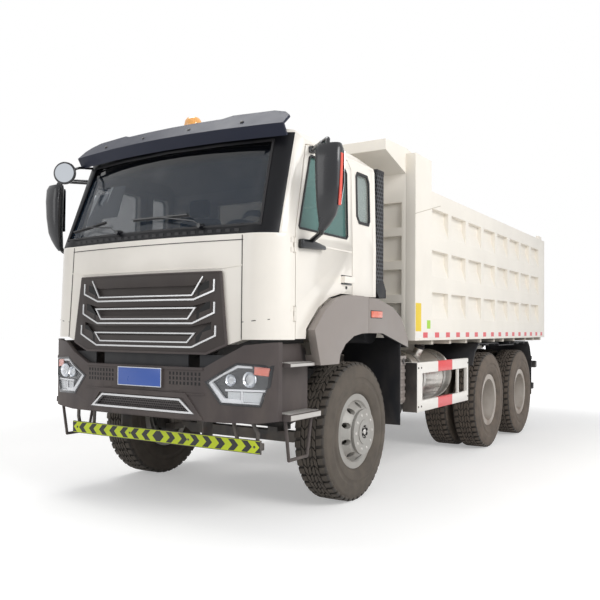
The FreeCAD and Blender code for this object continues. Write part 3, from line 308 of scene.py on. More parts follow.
# ---------------------------------------------------------------- finishes
@dataclass(frozen=True)
class Finish:
    """Paint, plastic or metal with a wandering tone, a fine grain and road dust low down."""

    name: str
    slot: str
    colour: str
    roughness: float = 0.45
    metallic: float = 0.0
    coat: float = 0.0
    grain: float = 0.0002
    grain_scale: float = 260.0
    wander: float = 0.05
    dust: float = 0.15
    dust_colour: str = "#a3978a"
    dust_top: float = 1.3
    shine: float = 0.5

    def material(self) -> bpy.types.Material:
        """The finish's material, made on first use.

        Returns:
            The material.
        """
        label = f"finish_{self.name}"
        made = bpy.data.materials.get(label)
        if made is None:
            made = bpy.data.materials.new(label)
            self.draw(Graph(made))
        return made

    def draw(self, graph: Graph) -> None:
        """Builds the nodes: tone, dust, roughness and grain.

        Args:
            graph: The material's nodes.
        """
        place = graph.place()
        tone = self.tone(graph, place)
        settled = self.settled(graph, place)
        rough = self.roughness + (graph.noise(place, 7.0, 5.0) - 0.5) * 0.16 + settled * 0.25
        graph.set(Base_Color=graph.mix(settled, tone, tint(self.dust_colour)), Roughness=rough,
                  Metallic=self.metallic, Coat_Weight=self.coat, Coat_Roughness=0.12,
                  Specular_IOR_Level=self.shine)
        if self.grain:
            graph.set(Normal=graph.bump(graph.noise(place, self.grain_scale, 2.0), self.grain, 0.5))

    def tone(self, graph: Graph, place: Value) -> Value:
        """The colour, a little darker in wide soft patches.

        Args:
            graph: The material's nodes.
            place: The coordinates.

        Returns:
            The colour.
        """
        base = tint(self.colour)
        darker = tuple(c * (1 - 3 * self.wander) for c in base[:3]) + (1.0,)
        return graph.mix(graph.noise(place, 1.7, 5.0).rising(0.35, 0.75) * 0.5, base, darker)

    def settled(self, graph: Graph, place: Value) -> Value:
        """How much dust lies on the surface, more of it lower down.

        Args:
            graph: The material's nodes.
            place: The coordinates.

        Returns:
            The share of dust.
        """
        height = graph.axes(place)[2]
        patches = graph.noise(place, 5.0, 6.0, (1, 1, 0.45)).rising(0.32, 0.72)
        return (height.rising(self.dust_top, 0.35) * 0.8 + 0.2) * patches * self.dust


@dataclass(frozen=True)
class Rubber(Finish):
    """Tyre rubber: dark in the grooves, dusty on the sidewall and on the blocks."""

    centre_y: float = 0.0
    centre_z: float = 0.556

    def draw(self, graph: Graph) -> None:
        """Builds the nodes from the distance to the wheel's centre line.

        Args:
            graph: The material's nodes.
        """
        place = graph.place()
        _, y, z = graph.axes(place)
        reach = (y - self.centre_y).length(z - self.centre_z)
        patches = graph.noise(place, 9.0, 6.0).rising(0.25, 0.7)
        wall = reach.rising(0.546, 0.522)
        tops = reach.rising(0.5500, 0.5560) * 0.60
        dusty = (wall * 0.66 + tops) * (patches * 0.45 + 0.55)
        rings = ((reach * 130.0) % 1.0).rising(0.2, 0.8)
        grain = graph.noise(place, 420.0, 3.0) * 0.5 + rings * wall * 0.6
        graph.set(Base_Color=graph.mix(dusty, tint(self.colour), tint(self.dust_colour)),
                  Roughness=0.72 + dusty * 0.2, Normal=graph.bump(grain, 0.0010, 0.5))


@dataclass(frozen=True)
class Glass(Finish):
    """Tinted glass seen through, with a plain gloss."""

    alpha: float = 0.6
    band_z: float = 0.0

    def draw(self, graph: Graph) -> None:
        """Builds the nodes: tint, see-through share and a dark, less see-through band near the top that is a
        painted reflection of the visor.

        Args:
            graph: The material's nodes.
        """
        place = graph.place()
        height = graph.axes(place)[2]
        # painted reflection: above its band height the glass turns near-black and more opaque, standing in
        # for the visor's reflection
        shade = height.rising(self.band_z - 0.05, self.band_z + 0.05) if self.band_z else height * 0.0
        haze = graph.noise(place, 2.5, 4.0).rising(0.4, 0.8) * 0.05
        graph.set(Base_Color=graph.mix(shade, tint(self.colour), tint("#0c0d10")),
                  Alpha=shade * (0.96 - self.alpha) + self.alpha + haze,
                  Roughness=0.04 + haze * 0.5, Specular_IOR_Level=0.65)


@dataclass(frozen=True)
class Lens(Finish):
    """Moulded lamp plastic with fine flutes."""

    alpha: float = 0.35
    flutes: float = 0.0
    glow: float = 0.0

    def draw(self, graph: Graph) -> None:
        """Builds the nodes: clear or coloured plastic, with upright flutes where asked.

        Args:
            graph: The material's nodes.
        """
        place = graph.place()
        x, y, _ = graph.axes(place)
        graph.set(Base_Color=graph.mix(graph.noise(place, 30.0) * 0.2, tint(self.colour), tint("#ffffff")),
                  Alpha=self.alpha, Roughness=0.06 + graph.noise(place, 12.0) * 0.06, Coat_Weight=0.5,
                  Specular_IOR_Level=0.6)
        if self.glow:
            graph.set(Emission_Color=tint(self.colour), Emission_Strength=self.glow)
        if self.flutes:
            graph.set(Normal=graph.bump(((x + y) * self.flutes % 1.0).rising(0.1, 0.9), 0.002, 0.4))


@dataclass(frozen=True)
class Tape(Finish):
    """Reflective tape in two colours that take turns along the truck."""

    second: str = "#e9e7e4"
    run: float = 0.30
    share: float = 0.5
    start: float = 0.0

    def draw(self, graph: Graph) -> None:
        """Builds the nodes: turns of colour along y and a fine honeycomb.

        Args:
            graph: The material's nodes.
        """
        place = graph.place()
        _, y, _ = graph.axes(place)
        first = (((y - self.start) / self.run) % 1.0).less(self.share)
        cells = graph.node("ShaderNodeTexVoronoi", {"feature": "DISTANCE_TO_EDGE"},
                           {"Vector": place, "Scale": 160.0}).rising(0.02, 0.12)
        worn = graph.noise(place, 14.0, 5.0).rising(0.62, 0.8) * 0.35
        colour = graph.mix(first, tint(self.second), tint(self.colour))
        graph.set(Base_Color=graph.mix(worn, colour, tint("#c9c2ba")), Roughness=0.32 + worn * 0.4,
                  Normal=graph.bump(cells, 0.0004, 0.4))


@dataclass(frozen=True)
class Bordered(Finish):
    """A blank plate with a thin pale line round its edge."""

    half: float = 0.220
    low: float = 0.946
    high: float = 1.086
    edge: float = 0.006
    line: str = "#d8dce2"

    def tone(self, graph: Graph, place: Value) -> Value:
        """The plate's colour, and the line's near the edge.

        Args:
            graph: The material's nodes.
            place: The coordinates.

        Returns:
            The colour.
        """
        x, _, z = graph.axes(place)
        ends = abs(x).more(self.half - self.edge)
        near = ends.most(z.less(self.low + self.edge)).most(z.more(self.high - self.edge))
        return graph.mix(near, tint(self.colour), tint(self.line))


@dataclass(frozen=True)
class Chevrons(Finish):
    """A board of arrowheads that point outwards from a diamond in its middle."""

    second: str = "#15161a"
    pitch: float = 0.118
    middle_z: float = 0.552

    def draw(self, graph: Graph) -> None:
        """Builds the nodes: stripes of equal x plus height off the middle.

        Args:
            graph: The material's nodes.
        """
        place = graph.place()
        x, _, z = graph.axes(place)
        arrow = (abs(x) + abs(z - self.middle_z)) / self.pitch
        dark = (arrow % 1.0).less(0.46).most(arrow.less(0.5))
        edge = abs(z - self.middle_z).more(0.040)
        dark = dark * (1.0 - edge)
        worn = graph.noise(place, 11.0, 5.0).rising(0.66, 0.85) * 0.3
        colour = graph.mix(dark, tint(self.colour), tint(self.second))
        graph.set(Base_Color=graph.mix(worn, colour, tint("#8d8a76")), Roughness=0.4 + worn * 0.3,
                  Normal=graph.bump(graph.noise(place, 300.0), 0.0003, 0.4))


@dataclass(frozen=True)
class Pierced(Finish):
    """Sheet or mesh with rows of dark holes."""

    pitch: float = 0.016
    hole: float = 0.34

    def draw(self, graph: Graph) -> None:
        """Builds the nodes: staggered holes across the surface, seen from the front and the side.

        Args:
            graph: The material's nodes.
        """
        place = graph.place()
        x, y, z = graph.axes(place)
        row = z / self.pitch
        odd = ((row - (row % 1.0)) % 2.0) * 0.5
        along = (x + y) / self.pitch + odd
        reach = ((along % 1.0) - 0.5).length((row % 1.0) - 0.5)
        hole = reach.rising(self.hole, self.hole - 0.08)
        tone = self.tone(graph, place)
        graph.set(Base_Color=graph.mix(hole, tone, tint("#060607")), Roughness=0.45 + hole * 0.4,
                  Metallic=self.metallic, Normal=graph.bump(1.0 - hole, 0.003, 0.8))


@dataclass(frozen=True)
class Woven(Finish):
    """Seat cloth with a fine weave."""

    def draw(self, graph: Graph) -> None:
        """Builds the nodes: crossing threads and a soft sheen.

        Args:
            graph: The material's nodes.
        """
        place = graph.place()
        x, y, z = graph.axes(place)
        across, along = ((x + z) * 420.0) % 1.0, ((y - z) * 420.0) % 1.0
        threads = across.rising(0.2, 0.8) * 0.5 + along.rising(0.2, 0.8) * 0.5
        tone = self.tone(graph, place)
        graph.set(Base_Color=graph.mix(threads * 0.4, tone, tint("#4a4f58")), Roughness=0.9,
                  Sheen_Weight=0.3, Normal=graph.bump(threads, 0.0008, 0.6))


@dataclass(frozen=True)
class Cast(Finish):
    """Rough or greasy metal with rust in patches."""

    rust: float = 0.25
    rust_colour: str = "#6b4630"

    def tone(self, graph: Graph, place: Value) -> Value:
        """The colour with rusty patches.

        Args:
            graph: The material's nodes.
            place: The coordinates.

        Returns:
            The colour.
        """
        base = super().tone(graph, place)
        patches = graph.noise(place, 13.0, 8.0).rising(0.55, 0.75) * self.rust
        return graph.mix(patches, base, tint(self.rust_colour))


IVORY = Finish("ivory_paint", "ivory_paint", "#f1ebe1", 0.32, coat=0.30, grain=0.00008, dust=0.10)
BED_IVORY = Finish("bed_paint", "bed_paint", "#efe9de", 0.45, coat=0.1, grain=0.00015, dust=0.12,
                   dust_top=1.9, wander=0.03)
BED_SHADE = Finish("bed_seam", "bed_paint", "#c4bdae", 0.5, dust=0.2)
BED_INSIDE = Cast("bed_inside", "bed_paint", "#c9c3b8", 0.55, dust=0.5, dust_top=2.6, rust=0.2)
TAUPE = Finish("taupe_plastic", "taupe_plastic", "#4b4443", 0.58, grain=0.0004, grain_scale=420.0, dust=0.20,
               shine=0.3)
GRILLE = Finish("grille_plastic", "taupe_plastic", "#3a3432", 0.55, grain=0.0003, grain_scale=420.0,
                dust=0.12, shine=0.3)
FLARE = Finish("flare_plastic", "flare_plastic", "#8d8580", 0.42, grain=0.0003, grain_scale=420.0, dust=0.25,
               dust_top=1.7)
BLACK = Finish("black_plastic", "black_plastic", "#1b1c20", 0.52, grain=0.0003, grain_scale=380.0, dust=0.15,
               shine=0.35)
SATIN_BLACK = Finish("black_gloss", "black_plastic", "#15161b", 0.25, coat=0.3, grain=0.0, dust=0.03,
                     shine=0.4)
TRIM_BLACK = Finish("pillar_trim", "black_plastic", "#0e0f13", 0.42, grain=0.0001, dust=0.02, shine=0.2)
VISOR = Finish("visor_plastic", "visor_plastic", "#222636", 0.45, grain=0.0, dust=0.02, shine=0.2)
CHASSIS = Cast("chassis_paint", "chassis_black", "#222224", 0.5, dust=0.35, rust=0.12)
STEEL = Cast("grey_steel", "steel_grey", "#4c4b4b", 0.55, metallic=0.35, dust=0.45, rust=0.3)
BRIGHT = Cast("bright_steel", "rim_silver", "#c4c1bd", 0.34, metallic=0.75, dust=0.12, rust=0.04)
RIM = Cast("rim_silver", "rim_silver", "#a3a19c", 0.42, metallic=0.25, dust=0.30, rust=0.05,
           dust_colour="#8d8074")
DRIVE_RIM = Cast("drive_rim_silver", "rim_silver", "#b9b2aa", 0.48, metallic=0.25, dust=0.75, rust=0.12,
                 dust_colour="#8d7f73")
COVER = Finish("hub_cover", "rim_silver", "#e0dfdb", 0.38, coat=0.15, dust=0.12)
TANK = Cast("tank_metal", "tank_metal", "#c9c5bf", 0.28, metallic=0.85, dust=0.22, rust=0.04)
CHROME = Finish("hoist_chrome", "hoist_chrome", "#c9ccd0", 0.12, metallic=1.0, grain=0.0, dust=0.0,
                wander=0.01)
SILVER = Finish("silver_trim", "rim_silver", "#c9c9ca", 0.25, metallic=0.6, grain=0.0, dust=0.03)
LAMP_WHITE = Finish("lamp_bezel", "lamp_lens", "#dcdde0", 0.2, metallic=0.35, grain=0.0, dust=0.02)
REFLECTOR = Finish("lamp_reflector", "lamp_lens", "#e6e9ee", 0.08, metallic=0.95, grain=0.0, dust=0.0)
CLEAR = Lens("clear_lens", "lamp_lens", "#eef2f6", alpha=0.06)
FLUTED = Lens("fluted_lens", "lamp_lens", "#eceff2", alpha=0.65, flutes=60.0)
ORANGE = Lens("orange_lens", "amber_lens", "#e0500c", alpha=0.97, flutes=90.0)
AMBER = Lens("amber_dome", "amber_lens", "#f0a008", alpha=0.96, flutes=40.0, glow=0.05)
RED_LENS = Lens("red_lens", "amber_lens", "#b3161a", alpha=0.95, flutes=90.0)
# the dark band near the top of the screen is a painted reflection of the visor, not a tint of the glass
SCREEN_GLASS = Glass("screen_glass", "window_glass", "#1b2a3a", alpha=0.52, band_z=2.63)
SIDE_GLASS = Glass("side_glass", "door_glass", "#5c8781", alpha=0.55)
PALE_GLASS = Glass("pale_glass", "window_glass", "#c9d8d4", alpha=0.30)
MIRROR_GLASS = Finish("mirror_face", "hoist_chrome", "#c7ccd2", 0.03, metallic=1.0, grain=0.0, dust=0.0)
STRIPE = Finish("mirror_stripe", "amber_lens", "#e2472f", 0.3, coat=0.3, grain=0.0, dust=0.0)
SEAT = Woven("seat_cloth", "seat_fabric", "#33373e")
DASH = Finish("dash_plastic", "black_plastic", "#4a4b4e", 0.6, grain=0.0004, dust=0.0)
PLATE = Bordered("blank_plate", "ivory_paint", "#1c4fa8", 0.3, coat=0.3, grain=0.0, dust=0.03)
GUARD = Tape("guard_paint", "guard_paint", "#dd4a4c", second="#e9e5de", run=3.00, share=0.133, start=-0.77)
SKIRT_TAPE = Tape("skirt_tape", "guard_paint", "#d6424a", second="#e8e4dd", run=0.30, share=0.38)
BOARD = Chevrons("chevron_board", "board_yellow", "#cfe020")
YELLOW = Finish("yellow_strip", "board_yellow", "#e6c619", 0.4, dust=0.05)
GREEN = Finish("green_label", "board_yellow", "#9fd02a", 0.4, dust=0.05)
PIERCED = Pierced("pierced_column", "black_plastic", "#34353a", 0.5, pitch=0.034, hole=0.40)
MESH = Pierced("grille_mesh", "taupe_plastic", "#4a4342", 0.5, pitch=0.018, hole=0.40)
PAPER = Finish("paper", "ivory_paint", "#d9dde0", 0.7, dust=0.0)
# painted shade: near-black that stands in for the shade in the bumper's slots, the hub covers' nut cups and
# the grille slots' ends; it also colours the dark seams on the cab's front
SHADE_AND_SEAM_BLACK = Finish("deep_shadow", "black_plastic", "#0b0b0c", 0.8, grain=0.0, dust=0.0)


# ---------------------------------------------------------------- modelling
def rounded(points: Sequence[Point], reach: float, steps: int = 5) -> list[Vector]:
    """A polyline with its inner corners turned into short curves.

    Args:
        points: The corners.
        reach: How far from a corner its curve starts.
        steps: Pieces in a curve.

    Returns:
        The points of the smoother line.
    """
    corners = [Vector(p) for p in points]
    line = [corners[0]]
    for before, corner, after in zip(corners, corners[1:], corners[2:]):
        start = corner + (before - corner).normalized() * min(reach, (before - corner).length * 0.45)
        end = corner + (after - corner).normalized() * min(reach, (after - corner).length * 0.45)
        for step in range(steps + 1):
            t = step / steps
            line.append(start * (1 - t) ** 2 + corner * 2 * t * (1 - t) + end * t * t)
    return line + [corners[-1]]


def paced(points: Sequence[Spot], pace: float, closed: bool = False) -> list[Spot]:
    """A polyline with points added, about pace apart in its first coordinate.

    Args:
        points: Its corners.
        pace: How far apart the points may lie.
        closed: Whether it runs back to its first corner.

    Returns:
        The corners with the added points between them.
    """
    ends = [*points, points[0]] if closed else points
    path = []
    for (u0, v0), (u1, v1) in zip(ends, ends[1:]):
        steps = max(1, round(abs(u1 - u0) / pace))
        path += [(u0 + (u1 - u0) * i / steps, v0 + (v1 - v0) * i / steps) for i in range(steps)]
    return path if closed else [*path, points[-1]]


def edges_of(verts: Iterable[BMVert]) -> list[bmesh.types.BMEdge]:
    """The edges whose two ends are both among the given points."""
    held = set(verts)
    return list({edge for vert in held for edge in vert.link_edges if edge.other_vert(vert) in held})


class Shape:
    """A mesh under construction."""

    layout: ClassVar[Layout]

    def __init__(self) -> None:
        """Starts with nothing in it."""
        self.mesh = bmesh.new()

    def _soften(self, verts: Iterable[BMVert], width: float, segments: int) -> None:
        """Bevels the sharp edges among the given points.

        Args:
            verts: The points.
            width: How wide the bevel is.
            segments: Faces across it.
        """
        sharp = [e for e in edges_of(verts) if e.is_manifold and e.calc_face_angle(0.0) > SHARP]
        if width and sharp:
            bmesh.ops.bevel(self.mesh, geom=sharp, offset=width, segments=segments, profile=0.5,
                            affect="EDGES", clamp_overlap=True, material=-1)

    def box(self, low: Point, high: Point, bevel: float = 0.003, segments: int = 1) -> "Shape":
        """A box with softened edges.

        Args:
            low: Its lowest corner.
            high: Its highest corner.
            bevel: How wide its edges are cut.
            segments: Faces across a cut edge.

        Returns:
            This shape.
        """
        low, high = Vector(low), Vector(high)
        matrix = Matrix.Translation((low + high) / 2) @ Matrix.Diagonal((*(high - low), 1.0))
        made = bmesh.ops.create_cube(self.mesh, size=1.0, matrix=matrix)
        self._soften(made["verts"], bevel, segments)
        return self

    def tube(self, start: Point, end: Point, radius: float, far: float | None = None, sides: int = 28,
             bevel: float = 0.0, segments: int = 1) -> "Shape":
        """A round bar or cone.

        Args:
            start: The middle of its first end.
            end: The middle of its last end.
            radius: Its radius at the start.
            far: Its radius at the end, the same where left out.
            sides: Faces round it.
            bevel: How wide its rims are cut.
            segments: Faces across a cut rim.

        Returns:
            This shape.
        """
        start, end = Vector(start), Vector(end)
        turn = (end - start).to_track_quat("Z", "Y").to_matrix().to_4x4()
        made = bmesh.ops.create_cone(
            self.mesh, cap_ends=True, segments=sides, radius1=radius, radius2=radius if far is None else far,
            depth=(end - start).length, matrix=Matrix.Translation((start + end) / 2) @ turn)
        self._soften(made["verts"], bevel, segments)
        return self

    def ball(self, middle: Point, radius: float, scale: Point = (1, 1, 1)) -> "Shape":
        """A sphere, stretched along the axes.

        Args:
            middle: Its centre.
            radius: Its radius.
            scale: How far it is stretched along each axis.

        Returns:
            This shape.
        """
        matrix = Matrix.Translation(middle) @ Matrix.Diagonal((*scale, 1.0))
        bmesh.ops.create_uvsphere(self.mesh, u_segments=24, v_segments=14, radius=radius, matrix=matrix)
        return self

    def turned(self, profile: Sequence[Spot], middle: Point, steps: int = 72, axis: Point = (1, 0, 0),
               closed: bool = True) -> "Shape":
        """A profile turned a full round.

        Args:
            profile: Places along the axis and radii.
            middle: The point on the axis that the places are measured from.
            steps: Faces round it.
            axis: The axis's direction.
            closed: Whether the profile runs back to its first point.

        Returns:
            This shape.
        """
        axis = Vector(axis)
        middle = Vector(middle)
        up = Vector((0, 0, 1)) if abs(axis.z) < 0.9 else Vector((0, 1, 0))
        verts = [self.mesh.verts.new(middle + axis * a + up * r) for a, r in profile]
        pairs = list(zip(verts, verts[1:])) + ([(verts[-1], verts[0])] if closed else [])
        edges = [self.mesh.edges.new(pair) for pair in pairs]
        bmesh.ops.spin(self.mesh, geom=verts + edges, cent=middle, axis=axis, angle=2 * math.pi, steps=steps,
                       use_merge=True)
        return self

    def plate(self, plane: Plane, outline: Sequence[Spot], low: float, high: float, bevel: float = 0.003,
              segments: int = 1) -> "Shape":
        """A flat outline given a thickness.

        Args:
            plane: The plane that it lies in.
            outline: Its points in that plane.
            low: Where it starts on the plane's axis.
            high: Where it ends there.
            bevel: How wide its edges are cut.
            segments: Faces across a cut edge.

        Returns:
            This shape.
        """
        place = {Plane.SIDE: lambda u, v, w: (w, u, v), Plane.FRONT: lambda u, v, w: (u, w, v),
                 Plane.TOP: lambda u, v, w: (u, v, w)}[plane]
        verts = [self.mesh.verts.new(place(u, v, low)) for u, v in outline]
        face = self.mesh.faces.new(verts)
        grown = bmesh.ops.extrude_face_region(self.mesh, geom=[face])["geom"]
        moved = [g for g in grown if isinstance(g, BMVert)]
        bmesh.ops.translate(self.mesh, verts=moved, vec=Vector(place(0, 0, high)) - Vector(place(0, 0, low)))
        self.mesh.normal_update()
        self._soften(verts + moved, bevel, segments)
        return self

    def swept(self, points: Sequence[Point], width: float, height: float | None = None, sides: int = 4,
              up: Point = (0, 0, 1), closed: bool = False) -> "Shape":
        """A bar along a polyline, mitred at its corners.

        Args:
            points: The line that its middle follows.
            width: Its size across up.
            height: Its size along up, the same as its width where left out.
            sides: 4 for a flat bar, more for a round one.
            up: The direction that its top faces.
            closed: Whether it runs round in a loop.

        Returns:
            This shape.
        """
        line = [Vector(p) for p in points]
        height = width if height is None else height
        across = math.sqrt(0.5) if sides == 4 else 0.5
        count = len(line)
        rings = []
        for i, point in enumerate(line):
            before = line[(i - 1) % count] if closed or i else None
            after = line[(i + 1) % count] if closed or i < count - 1 else None
            run = ((after - point) if before is None else (point - before)).normalized()
            out = run if before is None or after is None else (after - point).normalized()
            mitre = (run + out).normalized()
            side = run.cross(Vector(up)).normalized()
            top = side.cross(run).normalized()
            frame = Matrix((side * width, top * height, run)).transposed().to_4x4()
            shear = Matrix.Identity(3)
            for row in range(3):
                for column in range(3):
                    shear[row][column] -= run[row] * mitre[column] / run.dot(mitre)
            matrix = Matrix.Translation(point) @ shear.to_4x4() @ frame
            if sides == 4:
                matrix = matrix @ Matrix.Rotation(math.pi / 4, 4, "Z")
            made = bmesh.ops.create_circle(self.mesh, segments=sides, radius=across, matrix=matrix,
                                           cap_ends=False)
            rings.append(edges_of(made["verts"]))
        for first, second in zip(rings, rings[1:] + ([rings[0]] if closed else [])):
            bmesh.ops.bridge_loops(self.mesh, edges=first + second)
        if not closed:
            bmesh.ops.holes_fill(self.mesh, edges=rings[0] + rings[-1], sides=0)
        return self

    def pipe(self, points: Sequence[Point], radius: float, bend: float = 0.03, sides: int = 12) -> "Shape":
        """A bent round bar.

        Args:
            points: Its ends and corners.
            radius: Its radius.
            bend: How far from a corner its bend starts.
            sides: Faces round it.

        Returns:
            This shape.
        """
        line = rounded(points, bend)
        run = (line[-1] - line[0]).normalized()
        up = (0.3, 0.9, 0.31) if abs(run.z) > 0.7 else (0.12, 0.1, 0.98)
        return self.swept(line, radius * 2, sides=sides, up=up)

    def sheet(self, rows: Sequence[Sequence[Point]], thick: float, closed: bool = False) -> "Shape":
        """A surface through rows of points, given a thickness.

        Args:
            rows: Rows of equally many points.
            thick: Its thickness.
            closed: Whether each row runs round in a loop.

        Returns:
            This shape.
        """
        grid = [[self.mesh.verts.new(p) for p in row] for row in rows]
        faces = []
        for low, high in zip(grid, grid[1:]):
            pairs = list(zip(zip(low, low[1:]), zip(high, high[1:])))
            if closed:
                pairs.append(((low[-1], low[0]), (high[-1], high[0])))
            faces += [self.mesh.faces.new((a, b, d, c)) for (a, b), (c, d) in pairs]
        bmesh.ops.recalc_face_normals(self.mesh, faces=faces)
        if thick:
            bmesh.ops.solidify(self.mesh, geom=faces, thickness=thick)
        return self

    def join(self, other: "Shape") -> "Shape":
        """Takes over another shape's mesh.

        Args:
            other: The shape, which is used up.

        Returns:
            This shape.
        """
        data = bpy.data.meshes.new("part")
        other.mesh.to_mesh(data)
        other.mesh.free()
        self.mesh.from_mesh(data)
        bpy.data.meshes.remove(data)
        return self

    def bolts(self, places: Iterable[Point], radius: float, length: float,
              axis: Point = (0, -1, 0)) -> "Shape":
        """Six-sided bolt heads on washers.

        Args:
            places: Where each one leaves its face.
            radius: The head's radius.
            length: How far the head stands off the face.
            axis: The direction that the heads point in.

        Returns:
            This shape.
        """
        axis = Vector(axis)
        for place in places:
            place = Vector(place)
            self.tube(place, place + axis * length * 0.3, radius * 1.35, sides=16)
            self.tube(place, place + axis * length, radius, radius * 0.93, sides=6)
        return self

    def around(self, middle: Point, count: int, axis: Point = (1, 0, 0)) -> "Shape":
        """Repeats all that was made so far around an axis.

        Args:
            middle: A point on the axis.
            count: How many there are in the end, the first one included.
            axis: The axis's direction.

        Returns:
            This shape.
        """
        bmesh.ops.spin(self.mesh, geom=self.mesh.verts[:] + self.mesh.edges[:] + self.mesh.faces[:],
                       cent=middle, axis=axis, angle=2 * math.pi * (count - 1) / count, steps=count - 1,
                       use_duplicate=True)
        return self

    def pushed(self, rule: Callable[[Vector], float]) -> "Shape":
        """Moves every point along y by what a rule makes of the point.

        Args:
            rule: Gives how far a point moves.

        Returns:
            This shape.
        """
        for vert in self.mesh.verts:
            vert.co.y += rule(vert.co)
        return self

    def both(self) -> "Shape":
        """Adds the mirror image across the truck's middle plane.

        Returns:
            This shape.
        """
        geom = self.mesh.verts[:] + self.mesh.edges[:] + self.mesh.faces[:]
        made = bmesh.ops.duplicate(self.mesh, geom=geom)["geom"]
        verts = [g for g in made if isinstance(g, BMVert)]
        bmesh.ops.scale(self.mesh, vec=(-1, 1, 1), verts=verts)
        bmesh.ops.reverse_faces(self.mesh, faces=[g for g in made if isinstance(g, bmesh.types.BMFace)])
        return self

    def on(self, side: Side) -> "Shape":
        """Moves a piece made for the left side to the given one.

        Args:
            side: The truck's side.

        Returns:
            This shape.
        """
        if side is Side.RIGHT:
            bmesh.ops.scale(self.mesh, vec=(-1, 1, 1), verts=self.mesh.verts[:])
            bmesh.ops.reverse_faces(self.mesh, faces=self.mesh.faces[:])
        return self

    def piece(self, name: str, body: str, finish: Finish, replaces: Sequence[str] = ()) -> bpy.types.Object:
        """Turns the mesh into a finished piece of the truck.

        Args:
            name: The piece's name.
            body: The body that it moves with.
            finish: Its finish.
            replaces: CAD nodes that it stands for.

        Returns:
            The Blender object.
        """
        bmesh.ops.translate(self.mesh, vec=(0, self.layout.front_y, 0), verts=self.mesh.verts[:])
        bmesh.ops.recalc_face_normals(self.mesh, faces=self.mesh.faces[:])
        data = bpy.data.meshes.new(name)
        self.mesh.to_mesh(data)
        self.mesh.free()
        data.shade_smooth()
        data.set_sharp_from_angle(angle=SMOOTH)
        data.materials.append(finish.material())
        made = bpy.data.objects.new(name, data)
        bpy.context.scene.collection.objects.link(made)
        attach(made, body)
        if replaces:
            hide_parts(*replaces)
        LOG.info("%s on %s", name, body)
        return made


class Assembly:
    """A sub-assembly, whose build method makes its pieces and dresses its CAD nodes."""

    nodes: ClassVar[dict[str, bpy.types.Object]]

    def build(self) -> None:
        """Makes and dresses everything."""
        raise NotImplementedError

    def dress(self, node: str, finish: Finish, soften: float = 0.0, segments: int = 2) -> None:
        """Gives a CAD node its finish and, where asked, softened edges.

        Args:
            node: The node's name.
            finish: Its finish.
            soften: How wide its edges are rounded.
            segments: Faces across a rounded edge.
        """
        made = self.nodes[node]
        if not made.data.materials:
            made.data.materials.append(None)
        for slot in made.material_slots:
            slot.material = finish.material()
        if soften:
            made.modifiers.new("weld", "WELD").merge_threshold = 0.00002
            flat = made.modifiers.new("flatten", "DECIMATE")
            flat.decimate_type, flat.angle_limit = "DISSOLVE", math.radians(0.5)
            bevel = made.modifiers.new("edges", "BEVEL")
            bevel.limit_method, bevel.angle_limit = "ANGLE", SHARP
            bevel.width, bevel.segments, bevel.harden_normals = soften, segments, True
        made.data.shade_smooth()
        made.data.set_sharp_from_angle(angle=SMOOTH)

    def recolour(self, node: str, finish: Finish, chosen: Callable[[Vector], bool]) -> None:
        """Gives some faces of a dressed CAD node a second finish.

        Args:
            node: The node's name.
            finish: The second finish.
            chosen: Tells from a face's middle, measured from the front axle, whether it takes the finish.
        """
        made = self.nodes[node]
        made.data.materials.append(finish.material())
        last = len(made.data.materials) - 1
        made.material_slots[last].material = finish.material()
        axle = Vector((0, Shape.layout.front_y, 0))
        for face in made.data.polygons:
            if chosen(made.matrix_world @ face.center - axle):
                face.material_index = last


class Arc:
    """A circle through three points of a plan, followed along its front."""

    def __init__(self, start: Spot, middle: Spot, end: Spot) -> None:
        """Finds the circle.

        Args:
            start: The first point.
            middle: A point between the ends.
            end: The last point.
        """
        (ax, ay), (bx, by), (cx, cy) = start, middle, end
        twice = 2 * (ax * (by - cy) + bx * (cy - ay) + cx * (ay - by))
        a, b, c = ax * ax + ay * ay, bx * bx + by * by, cx * cx + cy * cy
        self.x = (a * (by - cy) + b * (cy - ay) + c * (ay - by)) / twice
        self.y = (a * (cx - bx) + b * (ax - cx) + c * (bx - ax)) / twice
        self.radius = math.hypot(ax - self.x, ay - self.y)

    def at(self, x: float) -> float:
        """The front's y at x."""
        off = min(abs(x - self.x), self.radius)
        return self.y - math.sqrt(self.radius ** 2 - off ** 2)


@dataclass(frozen=True)
class Hull:
    """The cab's outer form: a bowed front with round corners, and sides that lean in above the waist."""

    half: float = 1.150
    lean: float = 0.022
    waist_z: float = 2.035
    low_z: float = 1.190
    roof_z: float = 2.860

    def side(self, z: float) -> float:
        """The side's x at height z."""
        return self.half - max(0.0, z - self.waist_z) * self.lean / (self.roof_z - self.waist_z)

    def front(self, x: float, z: float) -> float:
        """The front's y.

        Args:
            x: The place across.
            z: The height.

        Returns:
            How far forward the front lies there.
        """
        if z < self.waist_z:
            share = (z - self.low_z) / (self.waist_z - self.low_z)
            nose, back = -1.268 + 0.030 * share, 0.030 * share
        else:
            share = (z - self.waist_z) / (self.roof_z - self.waist_z)
            nose, back = -1.238 + 0.276 * share, 0.030 + 0.276 * share
        bow = 0.055 + 0.18 * back
        shoulder = 0.75 * self.half
        if abs(x) <= shoulder:
            return Arc((-shoulder, nose + bow), (0.0, nose), (shoulder, nose + bow)).at(x)
        half = self.side(z)
        turn = Arc((shoulder, nose + bow), (half - 0.062, nose + bow + 0.092 - 0.05 * back),
                   (half, nose + bow + 0.250 - 0.2 * back))
        return turn.at(abs(x))


